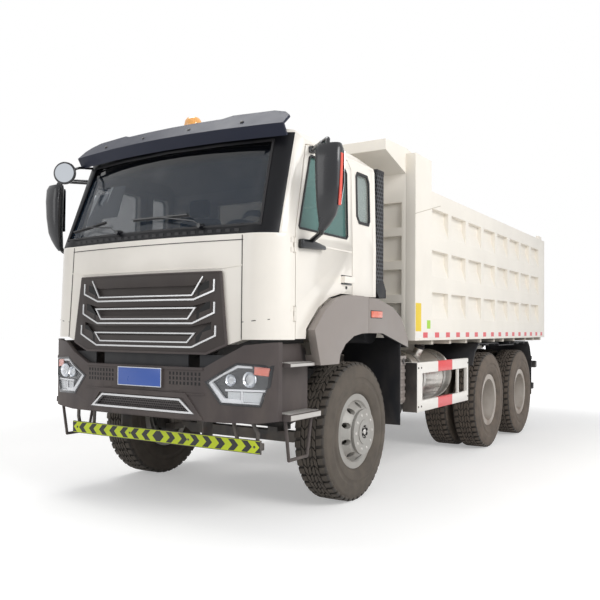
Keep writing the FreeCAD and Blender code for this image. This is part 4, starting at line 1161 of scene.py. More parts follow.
# ---------------------------------------------------------------- wheels
@dataclass(frozen=True)
class Wheels(Assembly):
    """Tyres with block treads, hub covers and wheel nuts."""

    layout: Layout
    outer_r: float = 0.5552
    tread_half: float = 0.118
    wall_half: float = 0.149
    bead_r: float = 0.259
    blocks: int = 46
    nuts: int = 10
    nut_circle: float = 0.138
    cover_depth: float = 0.026
    drive_face_x: float = 0.930

    def tyre(self, shape: Shape, x: float, y: float) -> None:
        """Adds one tyre with its tread blocks.

        Args:
            shape: The mesh that takes it.
            x: Its middle plane.
            y: Its axle.
        """
        z = self.layout.axle_z
        wall, tread = self.wall_half, self.tread_half
        half = [(0.106, self.bead_r), (0.112, 0.300), (0.124, 0.306), (0.130, 0.316), (0.1385, 0.330),
                (0.1385, 0.336), (wall - 0.004, 0.350), (wall, 0.385), (wall, 0.392), (wall - 0.003, 0.396),
                (wall - 0.003, 0.430), (wall, 0.434), (wall - 0.001, 0.455), (wall - 0.005, 0.478),
                (wall - 0.010, 0.500), (wall - 0.010, 0.508), (0.131, 0.520), (tread, 0.537),
                (tread - 0.030, 0.5405), (0.038, 0.5415), (0.034, 0.5415)]
        inner = [(0.0, 0.520), (0.100, 0.510), (0.128, 0.470), (0.132, 0.400), (0.118, 0.330), (0.098, 0.275)]
        outer = half + [(-u, r) for u, r in reversed(half)]
        inside = [(-u, r) for u, r in reversed(inner[1:])] + inner
        shape.turned(outer + inside, (x, y, z), steps=96)
        pitch = 2 * math.pi * self.outer_r / self.blocks
        rows = Shape()
        low, top = 0.536, self.outer_r
        shoulder = [(0.0665, low), (0.0665, top), (0.110, top - 0.0008), (0.1205, top - 0.006),
                    (0.1290, 0.5300), (0.1255, 0.5180), (0.118, 0.520)]
        for sign in (1, -1):
            outline = [(x + sign * u, z + r) for u, r in shoulder]
            block = Shape().plate(Plane.FRONT, outline, y - pitch * 0.34, y + pitch * 0.34, 0.003)
            shift = pitch * 0.25 * sign
            rows.join(block.pushed(lambda p: shift * abs(p.x - x) / 0.12))
            for u0, u1, lean in ((0.0035, 0.0285, 1.2), (0.0340, 0.0610, -1.2)):
                near, far = sorted((x + sign * u0, x + sign * u1))
                outline = [(near, y - pitch * 0.40), (far, y - pitch * 0.40),
                           (far, y + pitch * 0.40), (near, y + pitch * 0.40)]
                block = Shape().plate(Plane.TOP, outline, z + low, z + top, 0.0025)
                rows.join(block.pushed(lambda p: (p.x - (near + far) / 2) * lean))
        rows.around((x, y, z), self.blocks)
        shape.join(rows)

    def tyres(self, side: Side) -> None:
        """Makes one side's tyres, the twins of a drive axle as one piece.

        Args:
            side: The truck's side.
        """
        name, front_y = side.word, self.layout.front_y
        low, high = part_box(f"front_tyre_{name}")
        shape = Shape()
        self.tyre(shape, (low.x + high.x) / 2, 0.0)
        finish = Rubber("front_rubber", "tyre_rubber", "#34302c", dust_colour="#6a6157", centre_y=front_y)
        shape.piece(f"tyre_front_{name}", f"front_wheel_{name}", finish, [f"front_tyre_{name}"])
        for n, y in enumerate(self.layout.drive_ys, 1):
            low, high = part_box(f"drive_tyres_{n}_{name}")
            shape = Shape()
            for x in (low.x + self.wall_half, high.x - self.wall_half):
                self.tyre(shape, x, y)
            finish = Rubber(f"drive_rubber_{n}", "tyre_rubber", "#34302c", dust_colour="#7d7064",
                            centre_y=y + front_y)
            shape.piece(f"tyres_drive_{n}_{name}", f"drive_wheels_{n}_{name}", finish,
                        [f"drive_tyres_{n}_{name}"])

    def front_hub(self, side: Side) -> None:
        """A hub cover with a raised middle and nut caps around it.

        Args:
            side: The truck's side.
        """
        z, r = self.layout.axle_z, self.nut_circle
        base = max(abs(corner.x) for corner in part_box(f"front_rim_{side.word}")) - self.cover_depth
        cover = Shape().turned([(base + u, v) for u, v in (
            (0.002, 0.0), (0.026, 0.0), (0.026, 0.052), (0.0235, 0.060), (0.020, 0.068), (0.014, 0.079),
            (0.010, 0.088), (0.009, 0.108), (0.012, 0.116), (0.012, 0.158), (0.009, 0.166), (0.003, 0.170),
            (0.002, 0.170))], (0, 0, z), closed=False)
        # painted shade: thin near-black discs round the nuts stand in for the shade in the cover's nut cups
        cups = Shape().tube((base + 0.008, r, z), (base + 0.0132, r, z), 0.0215, sides=24)
        cups.around((0, 0, z), self.nuts)
        nuts = Shape().tube((base + 0.006, r, z), (base + 0.0245, r, z), 0.0150, 0.0135, sides=6, bevel=0.002)
        nuts.around((0, 0, z), self.nuts)
        middle = Shape().bolts([(base + 0.0255, 0.040, z)], 0.006, 0.005, (1, 0, 0)).around((0, 0, z), 6)
        middle.tube((base + 0.025, 0, z), (base + 0.029, 0, z), 0.024, 0.021, bevel=0.001)
        for part, shape, finish in (("cover", cover, COVER), ("cups", cups, SHADE_AND_SEAM_BLACK), ("nuts", nuts, BRIGHT),
                                    ("middle", middle, BRIGHT)):
            shape.on(side).piece(f"hub_{part}_{side.word}", f"front_wheel_{side.word}", finish)

    def drive_hub(self, side: Side, axle: int, y: float) -> None:
        """A dusty hub with a bolted end cap and wheel nuts.

        Args:
            side: The truck's side.
            axle: The drive axle's number from the front.
            y: Where that axle lies.
        """
        z, x, r = self.layout.axle_z, self.drive_face_x, self.nut_circle + 0.006
        name = f"drive_wheels_{axle}_{side.word}"
        hub = Shape().turned([(x + u, v) for u, v in (
            (0.016, 0.0), (0.165, 0.0), (0.169, 0.030), (0.165, 0.070), (0.150, 0.098), (0.135, 0.104),
            (0.130, 0.1225), (0.110, 0.1225), (0.105, 0.1185), (0.030, 0.1185), (0.016, 0.121))],
            (0, y, z), closed=False)
        hub.on(side).piece(f"hub_{name}", name, DRIVE_RIM)
        studs = Shape().bolts([(x + 0.130, y + 0.112, z)], 0.0075, 0.010, (1, 0, 0)).around((0, y, z), 12)
        nuts = Shape().bolts([(x + 0.016, y + r, z)], 0.0165, 0.024, (1, 0, 0))
        nuts.tube((x + 0.03, y + r, z), (x + 0.052, y + r, z), 0.010, sides=14).around((0, y, z), self.nuts)
        studs.join(nuts).on(side).piece(f"nuts_{name}", name, STEEL)

    def build(self) -> None:
        """Makes every tyre and hub and dresses the rims."""
        for side in Side:
            self.tyres(side)
            self.dress(f"front_rim_{side.word}", RIM)
            self.dress(f"steering_knuckle_{side.word}", CHASSIS)
            self.front_hub(side)
            for n, y in enumerate(self.layout.drive_ys, 1):
                self.dress(f"drive_rims_{n}_{side.word}", DRIVE_RIM)
                self.drive_hub(side, n, y)


# ---------------------------------------------------------------- front of the truck
@dataclass(frozen=True)
class Bumper(Assembly):
    """The bumper's trims, its intake, the blank plate, the headlamps and the tail lamps."""

    plate_y: float = -1.2975
    plan: tuple[Spot, ...] = ((0.0, -1.280), (0.400, -1.280), (0.760, -1.255), (1.060, -1.160),
                              (1.116, -1.112), (1.122, -1.075))
    lamp: tuple[Spot, ...] = ((0.612, 1.000), (0.735, 0.858), (1.010, 0.850), (1.068, 0.985), (1.085, 1.118),
                              (0.850, 1.132))
    lamp_middle: Spot = (0.895, 1.000)

    def face(self, x: float) -> float:
        """The bumper's foremost y at a given x.

        Args:
            x: The place across.

        Returns:
            How far forward the face lies there.
        """
        x = abs(x)
        for (x0, y0), (x1, y1) in zip(self.plan, self.plan[1:]):
            if x <= x1:
                return y0 + (y1 - y0) * (x - x0) / (x1 - x0)
        return self.plan[-1][1]

    def onto(self, shape: Shape) -> Shape:
        """Bows a piece made flat, with y 0 on the face, to the bumper's plan."""
        return shape.pushed(lambda p: self.face(p.x))

    def strip(self, points: Sequence[Spot], width: float, depth: float, closed: bool = False) -> Shape:
        """A thin bar on the bumper's face.

        Args:
            points: The x and z of its corners.
            width: Its size across, on the face.
            depth: Its size along y.
            closed: Whether it runs back to its first corner.

        Returns:
            The bar.
        """
        line = [(x, 0.0, z) for x, z in paced(points, 0.05, closed)]
        return self.onto(Shape().swept(line, width, depth, up=(0, -1, 0), closed=closed))

    def panel(self, outline: Sequence[Spot], near: float, far: float) -> Shape:
        """A flat pane on the bumper's face.

        Args:
            outline: The x and z of its corners.
            near: How far behind the face it starts.
            far: How far behind the face it ends.

        Returns:
            The pane, cut finely enough to follow the face.
        """
        made = Shape().plate(Plane.FRONT, outline, near, far, 0.0)
        bmesh.ops.triangulate(made.mesh, faces=made.mesh.faces[:])
        bmesh.ops.subdivide_edges(made.mesh, edges=made.mesh.edges[:], cuts=2, use_grid_fill=True)
        return self.onto(made)

    def trims(self) -> None:
        """The intake's frame and mesh, the face's slots as patches of painted shade, its ledges, the tow
        covers and the filler above.
        """
        outer = [(-0.555, 0.752), (0.555, 0.752), (0.430, 0.900), (-0.430, 0.900)]
        self.strip(outer, 0.034, 0.022, closed=True).piece("intake_frame", "chassis", TAUPE)
        inner = [(-0.498, 0.780), (0.498, 0.780), (0.388, 0.868), (-0.388, 0.868)]
        self.strip(inner, 0.014, 0.030, closed=True).piece("intake_outline", "chassis", SILVER)
        mesh = Shape().plate(Plane.FRONT, inner, 0.018, 0.022, 0.0)
        self.onto(mesh).piece("intake_mesh", "chassis", MESH)
        # painted shade: flat near-black patches stand in for the shade inside the bumper's slots
        slots = Shape()
        for row, column, sign in product(range(3), range(9), (1, -1)):
            x, z = sign * (0.290 + column * 0.033), 0.985 + row * 0.034
            slots.box((x - 0.007, -0.0012, z - 0.011), (x + 0.007, 0.002, z + 0.011), 0.0)
        self.onto(slots).piece("bumper_slots", "chassis", SHADE_AND_SEAM_BLACK)
        ledge = self.strip([(-0.60, 0.912), (0.60, 0.912)], 0.010, 0.010)
        ledge.join(self.strip([(-0.585, 1.089), (0.585, 1.089)], 0.016, 0.012))
        ledge.piece("bumper_ledges", "chassis", TAUPE)
        eyes = Shape()
        for x in (-0.34, 0.34):
            y = self.face(x)
            eyes.box((x - 0.045, y - 0.003, 0.927), (x + 0.045, y + 0.004, 0.972), 0.004)
        eyes.piece("tow_covers", "chassis", TAUPE)
        filler = Shape()
        for run in ((-0.425, 0.0), (0.0, 0.425), (0.525, 0.700, 0.860), (-0.525, -0.700, -0.860)):
            filler.join(self.strip([(x, 1.140) for x in run], 0.100, 0.010))
        filler.pushed(lambda _: 0.045).piece("bumper_filler", "chassis", BLACK)

    def headlamp(self, side: Side) -> None:
        """One headlamp: rim, bezel, two projectors, a turn lamp, fluted cells and a clear cover.

        Args:
            side: The truck's side.
        """
        rim = self.strip(self.lamp, 0.016, 0.014, closed=True).pushed(lambda _: 0.004)
        bezel = Shape()
        for points, width, depth in (([(0.632, 0.996), (0.748, 0.874), (0.872, 0.866)], 0.046, 0.020),
                                     ([(0.640, 1.006), (0.850, 1.116), (0.950, 1.114)], 0.020, 0.018),
                                     ([(0.765, 0.952), (1.044, 0.952)], 0.014, 0.016),
                                     ([(0.880, 0.868), (0.880, 0.950)], 0.014, 0.016),
                                     ([(0.872, 0.864), (1.006, 0.860)], 0.016, 0.018)):
            bezel.join(self.strip(points, width, depth))
        bezel.pushed(lambda _: 0.014)
        bowls, lenses = Shape(), Shape()
        for x, z, radius in ((0.800, 1.020, 0.042), (0.930, 1.026, 0.056)):
            y = self.face(x) + 0.012
            profile = [(u, radius * share) for u, share in (
                (0.0, 1.0), (-0.006, 0.96), (0.0, 0.88), (0.014, 0.70), (0.020, 0.2), (0.026, 0.2),
                (0.020, 0.8))]
            bowls.turned(profile, (x, y, z), 32, (0, 1, 0))
            lenses.ball((x, y + 0.010, z), radius * 0.66, (1, 0.42, 1))
        turn = self.panel([(0.965, 1.062), (1.060, 1.052), (1.068, 1.108), (0.965, 1.118)], 0.006, 0.014)
        cells = self.panel([(0.782, 0.880), (0.866, 0.876), (0.866, 0.940), (0.782, 0.940)], 0.012, 0.018)
        cells.join(self.panel([(0.888, 0.874), (1.000, 0.870), (1.020, 0.940), (0.888, 0.940)], 0.012, 0.018))
        middle = Vector(self.lamp_middle)
        pane = [tuple(middle + (Vector(p) - middle) * 0.985) for p in self.lamp]
        cover = self.panel(pane, -0.0035, -0.0015)
        for part, shape, finish in (
                ("headlamp_rim", rim, SATIN_BLACK), ("headlamp_bezel", bezel, LAMP_WHITE),
                ("headlamp_bowls", bowls, REFLECTOR), ("headlamp_lenses", lenses, FLUTED),
                ("turn_lamp", turn, ORANGE), ("headlamp_cells", cells, FLUTED),
                ("headlamp_cover", cover, CLEAR)):
            shape.on(side).piece(f"{part}_{side.word}", "chassis", finish)

    def housings(self) -> None:
        """The dark bowls of both headlamps and the bodies of the tail lamps."""
        wall = self.strip(self.lamp, 0.012, 0.040, closed=True)
        wall.join(self.panel(self.lamp, 0.014, 0.018)).pushed(lambda _: 0.018)
        wall.box((0.760, 5.660, 0.835), (1.180, 5.6985, 0.925), 0.004)
        wall.both().piece("lamp_housings", "chassis", SATIN_BLACK, ["lamps"])

    def build(self) -> None:
        """Makes the trims and both lamps and dresses the CAD bumper."""
        self.dress("bumper", TAUPE, 0.008, 3)
        self.recolour("bumper", PLATE, lambda p: p.y < self.plate_y)
        self.trims()
        self.housings()
        for side in Side:
            self.headlamp(side)
        tails = Shape().box((0.770, 5.696, 0.842), (1.170, 5.7005, 0.918), 0.004).both()
        tails.piece("tail_lenses", "chassis", RED_LENS)


@dataclass(frozen=True)
class Face(Assembly):
    """The cab's front: grille trims, wipers, screen seal, visor and beacon."""

    hull: Hull = Hull()
    visor_half: float = 1.052
    screen_rear: float = -0.300

    def line(self, points: Sequence[Spot], width: float, depth: float, off: float,
             closed: bool = False) -> Shape:
        """A thin bar that follows the cab's face.

        Args:
            points: The x and z of its corners.
            width: Its size across, on the face.
            depth: Its size off the face.
            off: How far its middle stands off the face.
            closed: Whether it runs back to its first corner.

        Returns:
            The bar.
        """
        line = [(x, self.hull.front(x, z) - off, z) for x, z in paced(points, 0.08, closed)]
        return Shape().swept(line, width, depth, up=(0, -1, 0), closed=closed)

    def grille(self) -> None:
        """Silver lines round and between the slots, dark sheets of painted shade at the slots' ends, and the
        panel's edge.
        """
        bright, dark = Shape(), Shape()
        rows = ((0.655, 1.720, 1.640, 0.485, 1.580), (0.662, 1.561, 1.485, 0.480, 1.411),
                (0.677, 1.395, 1.325, 0.480, 1.242))
        for x, top, low, flat_x, flat_z in rows:
            slot = [(-x, top), (-x, low), (-flat_x, flat_z), (flat_x, flat_z), (x, low), (x, top)]
            bright.join(self.line(slot, 0.012, 0.012, 0.020))
            # painted shade: near-black sheets at each slot's ends stand in for the shade there
            for sign in (1, -1):
                slot_shade = [(sign * (x - 0.006), top), (sign * (x - 0.006), low + 0.004),
                        (sign * (flat_x + 0.03), flat_z + 0.022), (sign * (flat_x + 0.03), flat_z + 0.075),
                        (sign * (x - 0.07), top)]
                dark.join(Shape().plate(Plane.FRONT, slot_shade, -0.0185, -0.0165, 0.0))
        dark.pushed(lambda p: self.hull.front(p.x, p.z)).piece("grille_wings", "cab", SHADE_AND_SEAM_BLACK)
        for top, low in ((1.520, 1.443), (1.339, 1.276)):
            inner = [(-0.500, top), (0.500, top), (0.440, low), (-0.440, low)]
            bright.join(self.line(inner, 0.010, 0.010, 0.022, closed=True))
        crown = [(-0.560, 1.742), (-0.470, 1.610), (0.470, 1.610), (0.560, 1.742)]
        bright.join(self.line(crown, 0.010, 0.010, 0.022))
        bright.piece("grille_lines", "cab", SILVER)
        edge = self.line([(-0.701, 1.772), (0.701, 1.772)], 0.010, 0.012, 0.016)
        edge.join(self.line([(-0.701, 1.772), (-0.764, 1.264), (-0.600, 1.199), (0.600, 1.199),
                             (0.764, 1.264), (0.701, 1.772)], 0.016, 0.012, 0.014))
        edge.piece("grille_edge", "cab", TAUPE)

    def panel_lines(self) -> None:
        """The seams under the screen and beside the grille, and the crease over it."""
        runs = [[(-0.86, 1.992), (0.86, 1.992)]]
        for sign in (1, -1):
            runs.append([(sign * 0.872, 1.300), (sign * 0.852, 2.025)])
            runs.append([(sign * 0.868, 1.420), (sign * 1.060, 1.440)])
        seam = Shape()
        for run in runs:
            seam.join(self.line(run, 0.005, 0.004, 0.0005))
        seam.piece("front_seam", "cab", SHADE_AND_SEAM_BLACK)
        points = [(-0.86, 1.815), (-0.72, 1.800), (0.72, 1.800), (0.86, 1.815)]
        self.line(points, 0.008, 0.006, 0.001).piece("front_crease", "cab", IVORY)

    def wipers(self) -> None:
        """Two wipers parked low on the screen."""
        arms, rubber = Shape(), Shape()
        for pivot, blade in (((-0.310, 2.113), ((-0.890, 2.162), (-0.490, 2.211))),
                             ((0.500, 2.108), ((-0.170, 2.202), (0.370, 2.202)))):
            a, b, foot = (Vector((x, self.hull.front(x, z) - 0.030, z)) for x, z in (*blade, pivot))
            elbow = (foot.x * 0.7 + b.x * 0.3, foot.y - 0.012, foot.z + 0.035)
            arms.swept([foot, elbow, (a + b) / 2 + Vector((0, -0.008, 0))], 0.014, 0.008)
            arms.swept([a, b], 0.010, 0.010)
            arms.tube(foot + Vector((0, 0.045, 0)), foot + Vector((0, -0.010, 0)), 0.022, 0.016, bevel=0.002)
            low = Vector((0, 0.012, -0.004))
            rubber.swept([a + low, b + low], 0.008, 0.020)
        arms.piece("wiper_arms", "cab", SATIN_BLACK)
        rubber.piece("wiper_blades", "cab", BLACK)

    def seal(self) -> None:
        """The seal round the screen, the ribbed strip below it and two blank papers behind it."""
        foot = [(x, 2.100) for x in (-0.975, -0.5, 0.0, 0.5, 0.975)]
        head = [(x, 2.738) for x in (0.918, 0.5, 0.0, -0.5, -0.918)]
        line = [(x, self.hull.front(x, z) - 0.001, z) for x, z in foot + head]
        Shape().swept(line, 0.016, 0.010, up=(0, -1, 0), closed=True).piece("screen_seal", "cab", BLACK)
        ribs = Shape()
        for i in range(23):
            x = -0.80 + i * 1.60 / 22
            y = self.hull.front(x, 2.062)
            ribs.box((x - 0.020, y - 0.004, 2.050), (x + 0.020, y + 0.006, 2.074), 0.002)
        ribs.piece("screen_foot_ribs", "cab", BLACK)
        notices = Shape()
        for x, z in ((-0.735, 2.350), (-0.535, 2.395)):
            y = self.hull.front(x, z) + 0.034
            sheet = Shape().box((x - 0.085, y, z - 0.135), (x + 0.085, y + 0.001, z + 0.135), 0.0)
            notices.join(sheet.pushed(lambda p: (p.z - z) * 0.335))
        notices.piece("blank_papers", "cab", PAPER)

    def sweep(self, x: float) -> float:
        """How far behind its middle the visor lies at x."""
        return 0.115 * (x / self.visor_half) ** 2

    def visor_ring(self, x: float, top: float) -> list[Point]:
        """The visor's outline at one place across.

        Args:
            x: The place.
            top: The height of its upper edge there.

        Returns:
            The outline's points.
        """
        back = 0.150 * (top - 2.825) / 0.135
        outline = ((-1.050, 2.745), (-1.100, 2.825), (-1.100 + back, top), (-1.087 + back, top - 0.015),
                   (-1.076, 2.822), (-1.033, 2.756))
        return [(x, self.sweep(x) + along, z) for along, z in outline]

    def visor(self) -> None:
        """The swept visor on its four arms, its bolts, and the beacon's dome."""
        edge = ((self.visor_half, 2.903), (1.000, 2.940), (0.900, 2.966), (0.560, 2.968), (0.480, 2.945),
                (0.240, 2.945))
        tops = [(-x, top) for x, top in edge] + [(0.0, 2.945)] + list(reversed(edge))
        blade = Shape().sheet([self.visor_ring(x, top) for x, top in tops], 0.0, closed=True)
        bmesh.ops.holes_fill(blade.mesh, edges=blade.mesh.edges[:], sides=0)
        for x in (-0.715, -0.250, 0.220, 0.685):
            sweep = self.sweep(x)
            blade.plate(Plane.SIDE, [(-1.040 + sweep, 2.858), (-1.040 + sweep, 2.884), (-0.805, 2.884),
                                     (-0.775, 2.862), (-0.775, 2.826), (-0.820, 2.826), (-0.850, 2.858)],
                        x, x + 0.030)
        blade.piece("visor_blade", "cab", VISOR, ["sun_visor"])
        bolts = Shape()
        for x in (-0.700, -0.235, 0.235, 0.700):
            bolts.bolts([(x, -1.0425 + self.sweep(x), 2.877)], 0.011, 0.007, (0, -0.67, 0.74))
        bolts.piece("visor_bolts", "cab", STEEL)
        low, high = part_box("beacon")
        y = (low.y + high.y) / 2 - Shape.layout.front_y
        x, top = (low.x + high.x) / 2, high.z
        dome = Shape().turned([(2.975, 0.0), (2.975, 0.074), (2.985, 0.0755), (3.050, 0.0745), (3.085, 0.068),
                               (3.108, 0.052), (top - 0.002, 0.026), (top - 0.001, 0.0)],
                              (x, y, 0.0), 48, (0, 0, 1), False)
        dome.piece("beacon_dome", "cab", AMBER)
        base = Shape().turned([(2.840, 0.0), (2.840, 0.062), (2.870, 0.074), (2.940, 0.0765), (2.976, 0.0775),
                               (2.982, 0.077), (2.982, 0.0)], (x, y, 0.0), 40, (0, 0, 1), False)
        base.piece("beacon_base", "cab", BLACK, ["beacon"])

    def build(self) -> None:
        """Makes the front of the cab."""
        self.dress("cab_front_panel", IVORY, 0.006, 3)
        self.dress("grille", GRILLE, 0.003)
        self.dress("windscreen_frame", TRIM_BLACK, 0.004)
        self.dress("cab_glass", SCREEN_GLASS)
        self.recolour("cab_glass", PALE_GLASS, lambda p: p.y > self.screen_rear)
        self.grille()
        self.panel_lines()
        self.seal()
        self.wipers()
        self.visor()


# ---------------------------------------------------------------- sides of the cab
@dataclass(frozen=True)
class Cab(Assembly):
    """Door trims, mirrors, step treads, seats and the dashboard."""

    hull: Hull = Hull()
    door_front: float = -0.955
    door_rear: float = -0.115
    mirror_sides: int = 20
    seat_width: float = 0.490
    tread_xs: tuple[float, ...] = (1.062, 1.094, 1.126, 1.158)

    def seal(self, outline: Sequence[Spot], width: float) -> Shape:
        """A rubber seal round a side window, from the y and z of its corners."""
        line = [(self.hull.side(z) + 0.001, y, z) for y, z in outline]
        return Shape().swept(line, width, 0.010, up=(1, 0, 0), closed=True)

    def door(self, side: Side) -> None:
        """One door's handle and lock, window seal and waist line.

        Args:
            side: The truck's side.
        """
        name, x = f"door_{side.word}", self.hull.half
        handle = Shape().box((x - 0.001, -0.300, 1.722), (x + 0.005, -0.130, 1.796), 0.005, 2)
        handle.box((x + 0.016, -0.290, 1.742), (x + 0.030, -0.140, 1.780), 0.006, 2)
        for y in (-0.290, -0.162):
            handle.box((x - 0.001, y, 1.742), (x + 0.029, y + 0.022, 1.780), 0.004)
        handle.tube((x - 0.002, -0.215, 1.700), (x + 0.006, -0.215, 1.700), 0.014, 0.012, bevel=0.001)
        handle.on(side).piece(f"handle_{name}", name, SATIN_BLACK)
        window = [(-0.915, 2.098), (-0.905, 2.085), (-0.215, 2.085), (-0.195, 2.105), (-0.195, 2.600),
                  (-0.225, 2.630), (-0.735, 2.630), (-0.755, 2.610)]
        self.seal(window, 0.014).on(side).piece(f"window_seal_{name}", name, BLACK)
        ends = [(x + 0.001, y, 1.985) for y in (self.door_front + 0.02, self.door_rear - 0.01)]
        ridge = Shape().swept(ends, 0.012, 0.004, up=(1, 0, 0))
        ridge.on(side).piece(f"waist_line_{name}", name, IVORY)

    def quarter(self, side: Side) -> None:
        """The seal of the small window behind the door.

        Args:
            side: The truck's side.
        """
        outline = [(0.010, 2.240), (0.175, 2.240), (0.196, 2.275), (0.196, 2.590), (0.165, 2.640),
                   (-0.005, 2.640), (-0.028, 2.610), (-0.028, 2.290)]
        self.seal(outline, 0.022).on(side).piece(f"quarter_seal_{side.word}", "cab", BLACK)

    def mirror(self, side: Side) -> None:
        """A door's large mirror with its arm, foot, stays and glass, and the stripe on the left one.

        Args:
            side: The truck's side.
        """
        name = side.word
        door = f"door_{name}"
        rings = []
        for z, inner, outer, front, deep in (
                (2.052, 1.310, 1.352, -0.945, 0.050), (2.090, 1.322, 1.392, -0.955, 0.062),
                (2.150, 1.318, 1.440, -0.968, 0.075), (2.215, 1.314, 1.468, -0.985, 0.088),
                (2.350, 1.310, 1.486, -1.000, 0.105), (2.500, 1.306, 1.496, -1.004, 0.110),
                (2.600, 1.304, 1.497, -0.995, 0.104), (2.638, 1.318, 1.480, -0.975, 0.082),
                (2.647, 1.350, 1.440, -0.945, 0.040)):
            ring = []
            for turn in range(self.mirror_sides):
                angle = 2 * math.pi * turn / self.mirror_sides
                c, s = math.cos(angle), math.sin(angle)
                x = (inner + outer) / 2 + (outer - inner) / 2 * math.copysign(abs(c) ** 0.6, c)
                y = front + deep / 2 + deep / 2 * math.copysign(abs(s) ** 0.7, s) + (x - inner) * 0.10
                ring.append((x, y, z))
            rings.append(ring)
        shell = Shape().sheet(rings, 0.0, closed=True)
        bmesh.ops.holes_fill(shell.mesh, edges=shell.mesh.edges[:], sides=0)
        shell.pipe([(1.335, -0.925, 2.085), (1.325, -0.900, 2.045), (1.280, -0.860, 2.035),
                    (1.185, -0.800, 2.005)], 0.019, 0.02)
        shell.on(side).piece(f"mirror_shell_{name}", door, SATIN_BLACK, [f"mirror_{name}"])
        x = self.hull.half
        foot = Shape().plate(Plane.SIDE, [(-0.930, 1.938), (-0.600, 1.955), (-0.610, 1.985), (-0.800, 2.010),
                                          (-0.930, 2.006)], x - 0.002, x + 0.046, 0.012, 3)
        foot.on(side).piece(f"mirror_foot_{name}", door, SATIN_BLACK)
        stays = Shape()
        stays.pipe([(1.380, -0.925, 2.640), (1.370, -0.900, 2.688), (1.150, -0.726, 2.682)], 0.016, 0.02)
        stays.pipe([(1.335, -0.935, 2.630), (1.330, -0.915, 2.668), (1.150, -0.742, 2.664)], 0.012, 0.02)
        stays.box((1.126, -0.756, 2.650), (1.160, -0.700, 2.698), 0.004)
        stays.on(side).piece(f"mirror_stays_{name}", door, SATIN_BLACK)
        if side is Side.LEFT:
            edge = [(1.4745, -0.921, 2.215), (1.4880, -0.930, 2.350), (1.4950, -0.932, 2.500),
                    (1.4950, -0.930, 2.565)]
            Shape().swept(edge, 0.030, 0.007, up=(1, 0, 0)).piece("mirror_stripe", door, STRIPE)
        glass = Shape().plate(Plane.FRONT, [(1.325, 2.230), (1.460, 2.230), (1.482, 2.380), (1.484, 2.590),
                                            (1.470, 2.612), (1.335, 2.612), (1.322, 2.590)],
                              -0.884, -0.880, 0.002)
        glass.pushed(lambda p: (p.x - 1.31) * 0.10).on(side).piece(f"mirror_glass_{name}", door, MIRROR_GLASS)

    def kerb(self) -> None:
        """The round mirror over the far front corner."""
        middle = (-1.060, -1.120, 2.680)
        axis = (-0.5, 0.866, 0.0)
        bowl = Shape().turned([(0.0, 0.0), (0.0, 0.088), (0.004, 0.094), (0.010, 0.097), (0.022, 0.094),
                               (0.036, 0.070), (0.040, 0.0)], middle, 48, axis, False)
        bowl.pipe([(-1.075, -1.090, 2.690), (-1.030, -0.990, 2.745), (-0.985, -0.760, 2.770)], 0.011, 0.03)
        bowl.piece("kerb_mirror_bowl", "cab", SATIN_BLACK, ["kerb_mirror"])
        disc = [(-0.001, 0.0), (-0.001, 0.080), (0.003, 0.080), (0.003, 0.0)]
        face = Shape().turned(disc, middle, 48, axis, False)
        face.piece("kerb_mirror_face", "cab", MIRROR_GLASS)

    def interior(self) -> None:
        """The dashboard, the padded seats and the steering wheel's rim."""
        self.dress("dashboard", DASH, 0.010, 3)
        self.seat(0.335, "driver", ["seats"])
        self.seat(-0.825, "mate")
        wheel = Shape().turned([(0.017, 0.225), (0.012, 0.241), (0.0, 0.2435), (-0.012, 0.240),
                                (-0.017, 0.225), (-0.012, 0.211), (0.0, 0.2075), (0.012, 0.211)],
                               (0.580, -0.700, 2.040), 56, (0, 0.6, 0.8))
        wheel.piece("steering_rim", "cab", SATIN_BLACK)

    def crowned(self, point: Vector, centre: Vector, size: Vector) -> Vector:
        """Where a point of a cushion goes so that its faces bulge between two stitched channels.

        Args:
            point: The point.
            centre: The cushion's middle.
            size: Half of its sizes.

        Returns:
            The point's new place.
        """
        share = [(point[i] - centre[i]) / size[i] for i in range(3)]
        pull = [1 - 0.05 * (share[(i + 1) % 3] ** 2 + share[(i + 2) % 3] ** 2) for i in range(3)]
        grown = Vector(centre[i] + (point[i] - centre[i]) * pull[i] for i in range(3))
        thin = min(range(3), key=lambda i: size[i])
        grown[thin] -= math.copysign(0.014 * math.exp(-((abs(share[0]) - 0.55) / 0.07) ** 2), share[thin])
        return grown

    def seat(self, x: float, label: str, replaces: Sequence[str] = ()) -> None:
        """One seat of three cushions over its pedestal.

        Args:
            x: Its lowest x.
            label: Who sits there.
            replaces: CAD nodes that its base cushion stands for.
        """
        far = x + self.seat_width
        for part, low, high, radius, nodes in (
                ("base", (x, -0.435, 1.742), (far, 0.020, 1.858), 0.045, replaces),
                ("back", (x, 0.022, 1.862), (far, 0.148, 2.416), 0.045, ()),
                ("head", (x + 0.13, 0.034, 2.422), (far - 0.13, 0.126, 2.596), 0.035, ())):
            shape = Shape().box(low, high, radius, 3)
            bmesh.ops.subdivide_edges(shape.mesh, edges=shape.mesh.edges[:], cuts=1, use_grid_fill=True)
            centre, size = (Vector(low) + Vector(high)) / 2, (Vector(high) - Vector(low)) / 2
            for vert in shape.mesh.verts:
                vert.co = self.crowned(vert.co, centre, size)
            made = shape.piece(f"seat_{part}_{label}", "cab", SEAT, nodes)
            made.modifiers.new("smooth", "SUBSURF").levels = 1
        pedestal = Shape().box((x + 0.07, -0.38, 1.690), (far - 0.07, -0.02, 1.741), 0.006)
        pedestal.swept([(x + 0.1, -0.30, 1.715), (x + 0.1, -0.42, 1.715)], 0.02)
        pedestal.piece(f"seat_pedestal_{label}", "cab", BLACK)

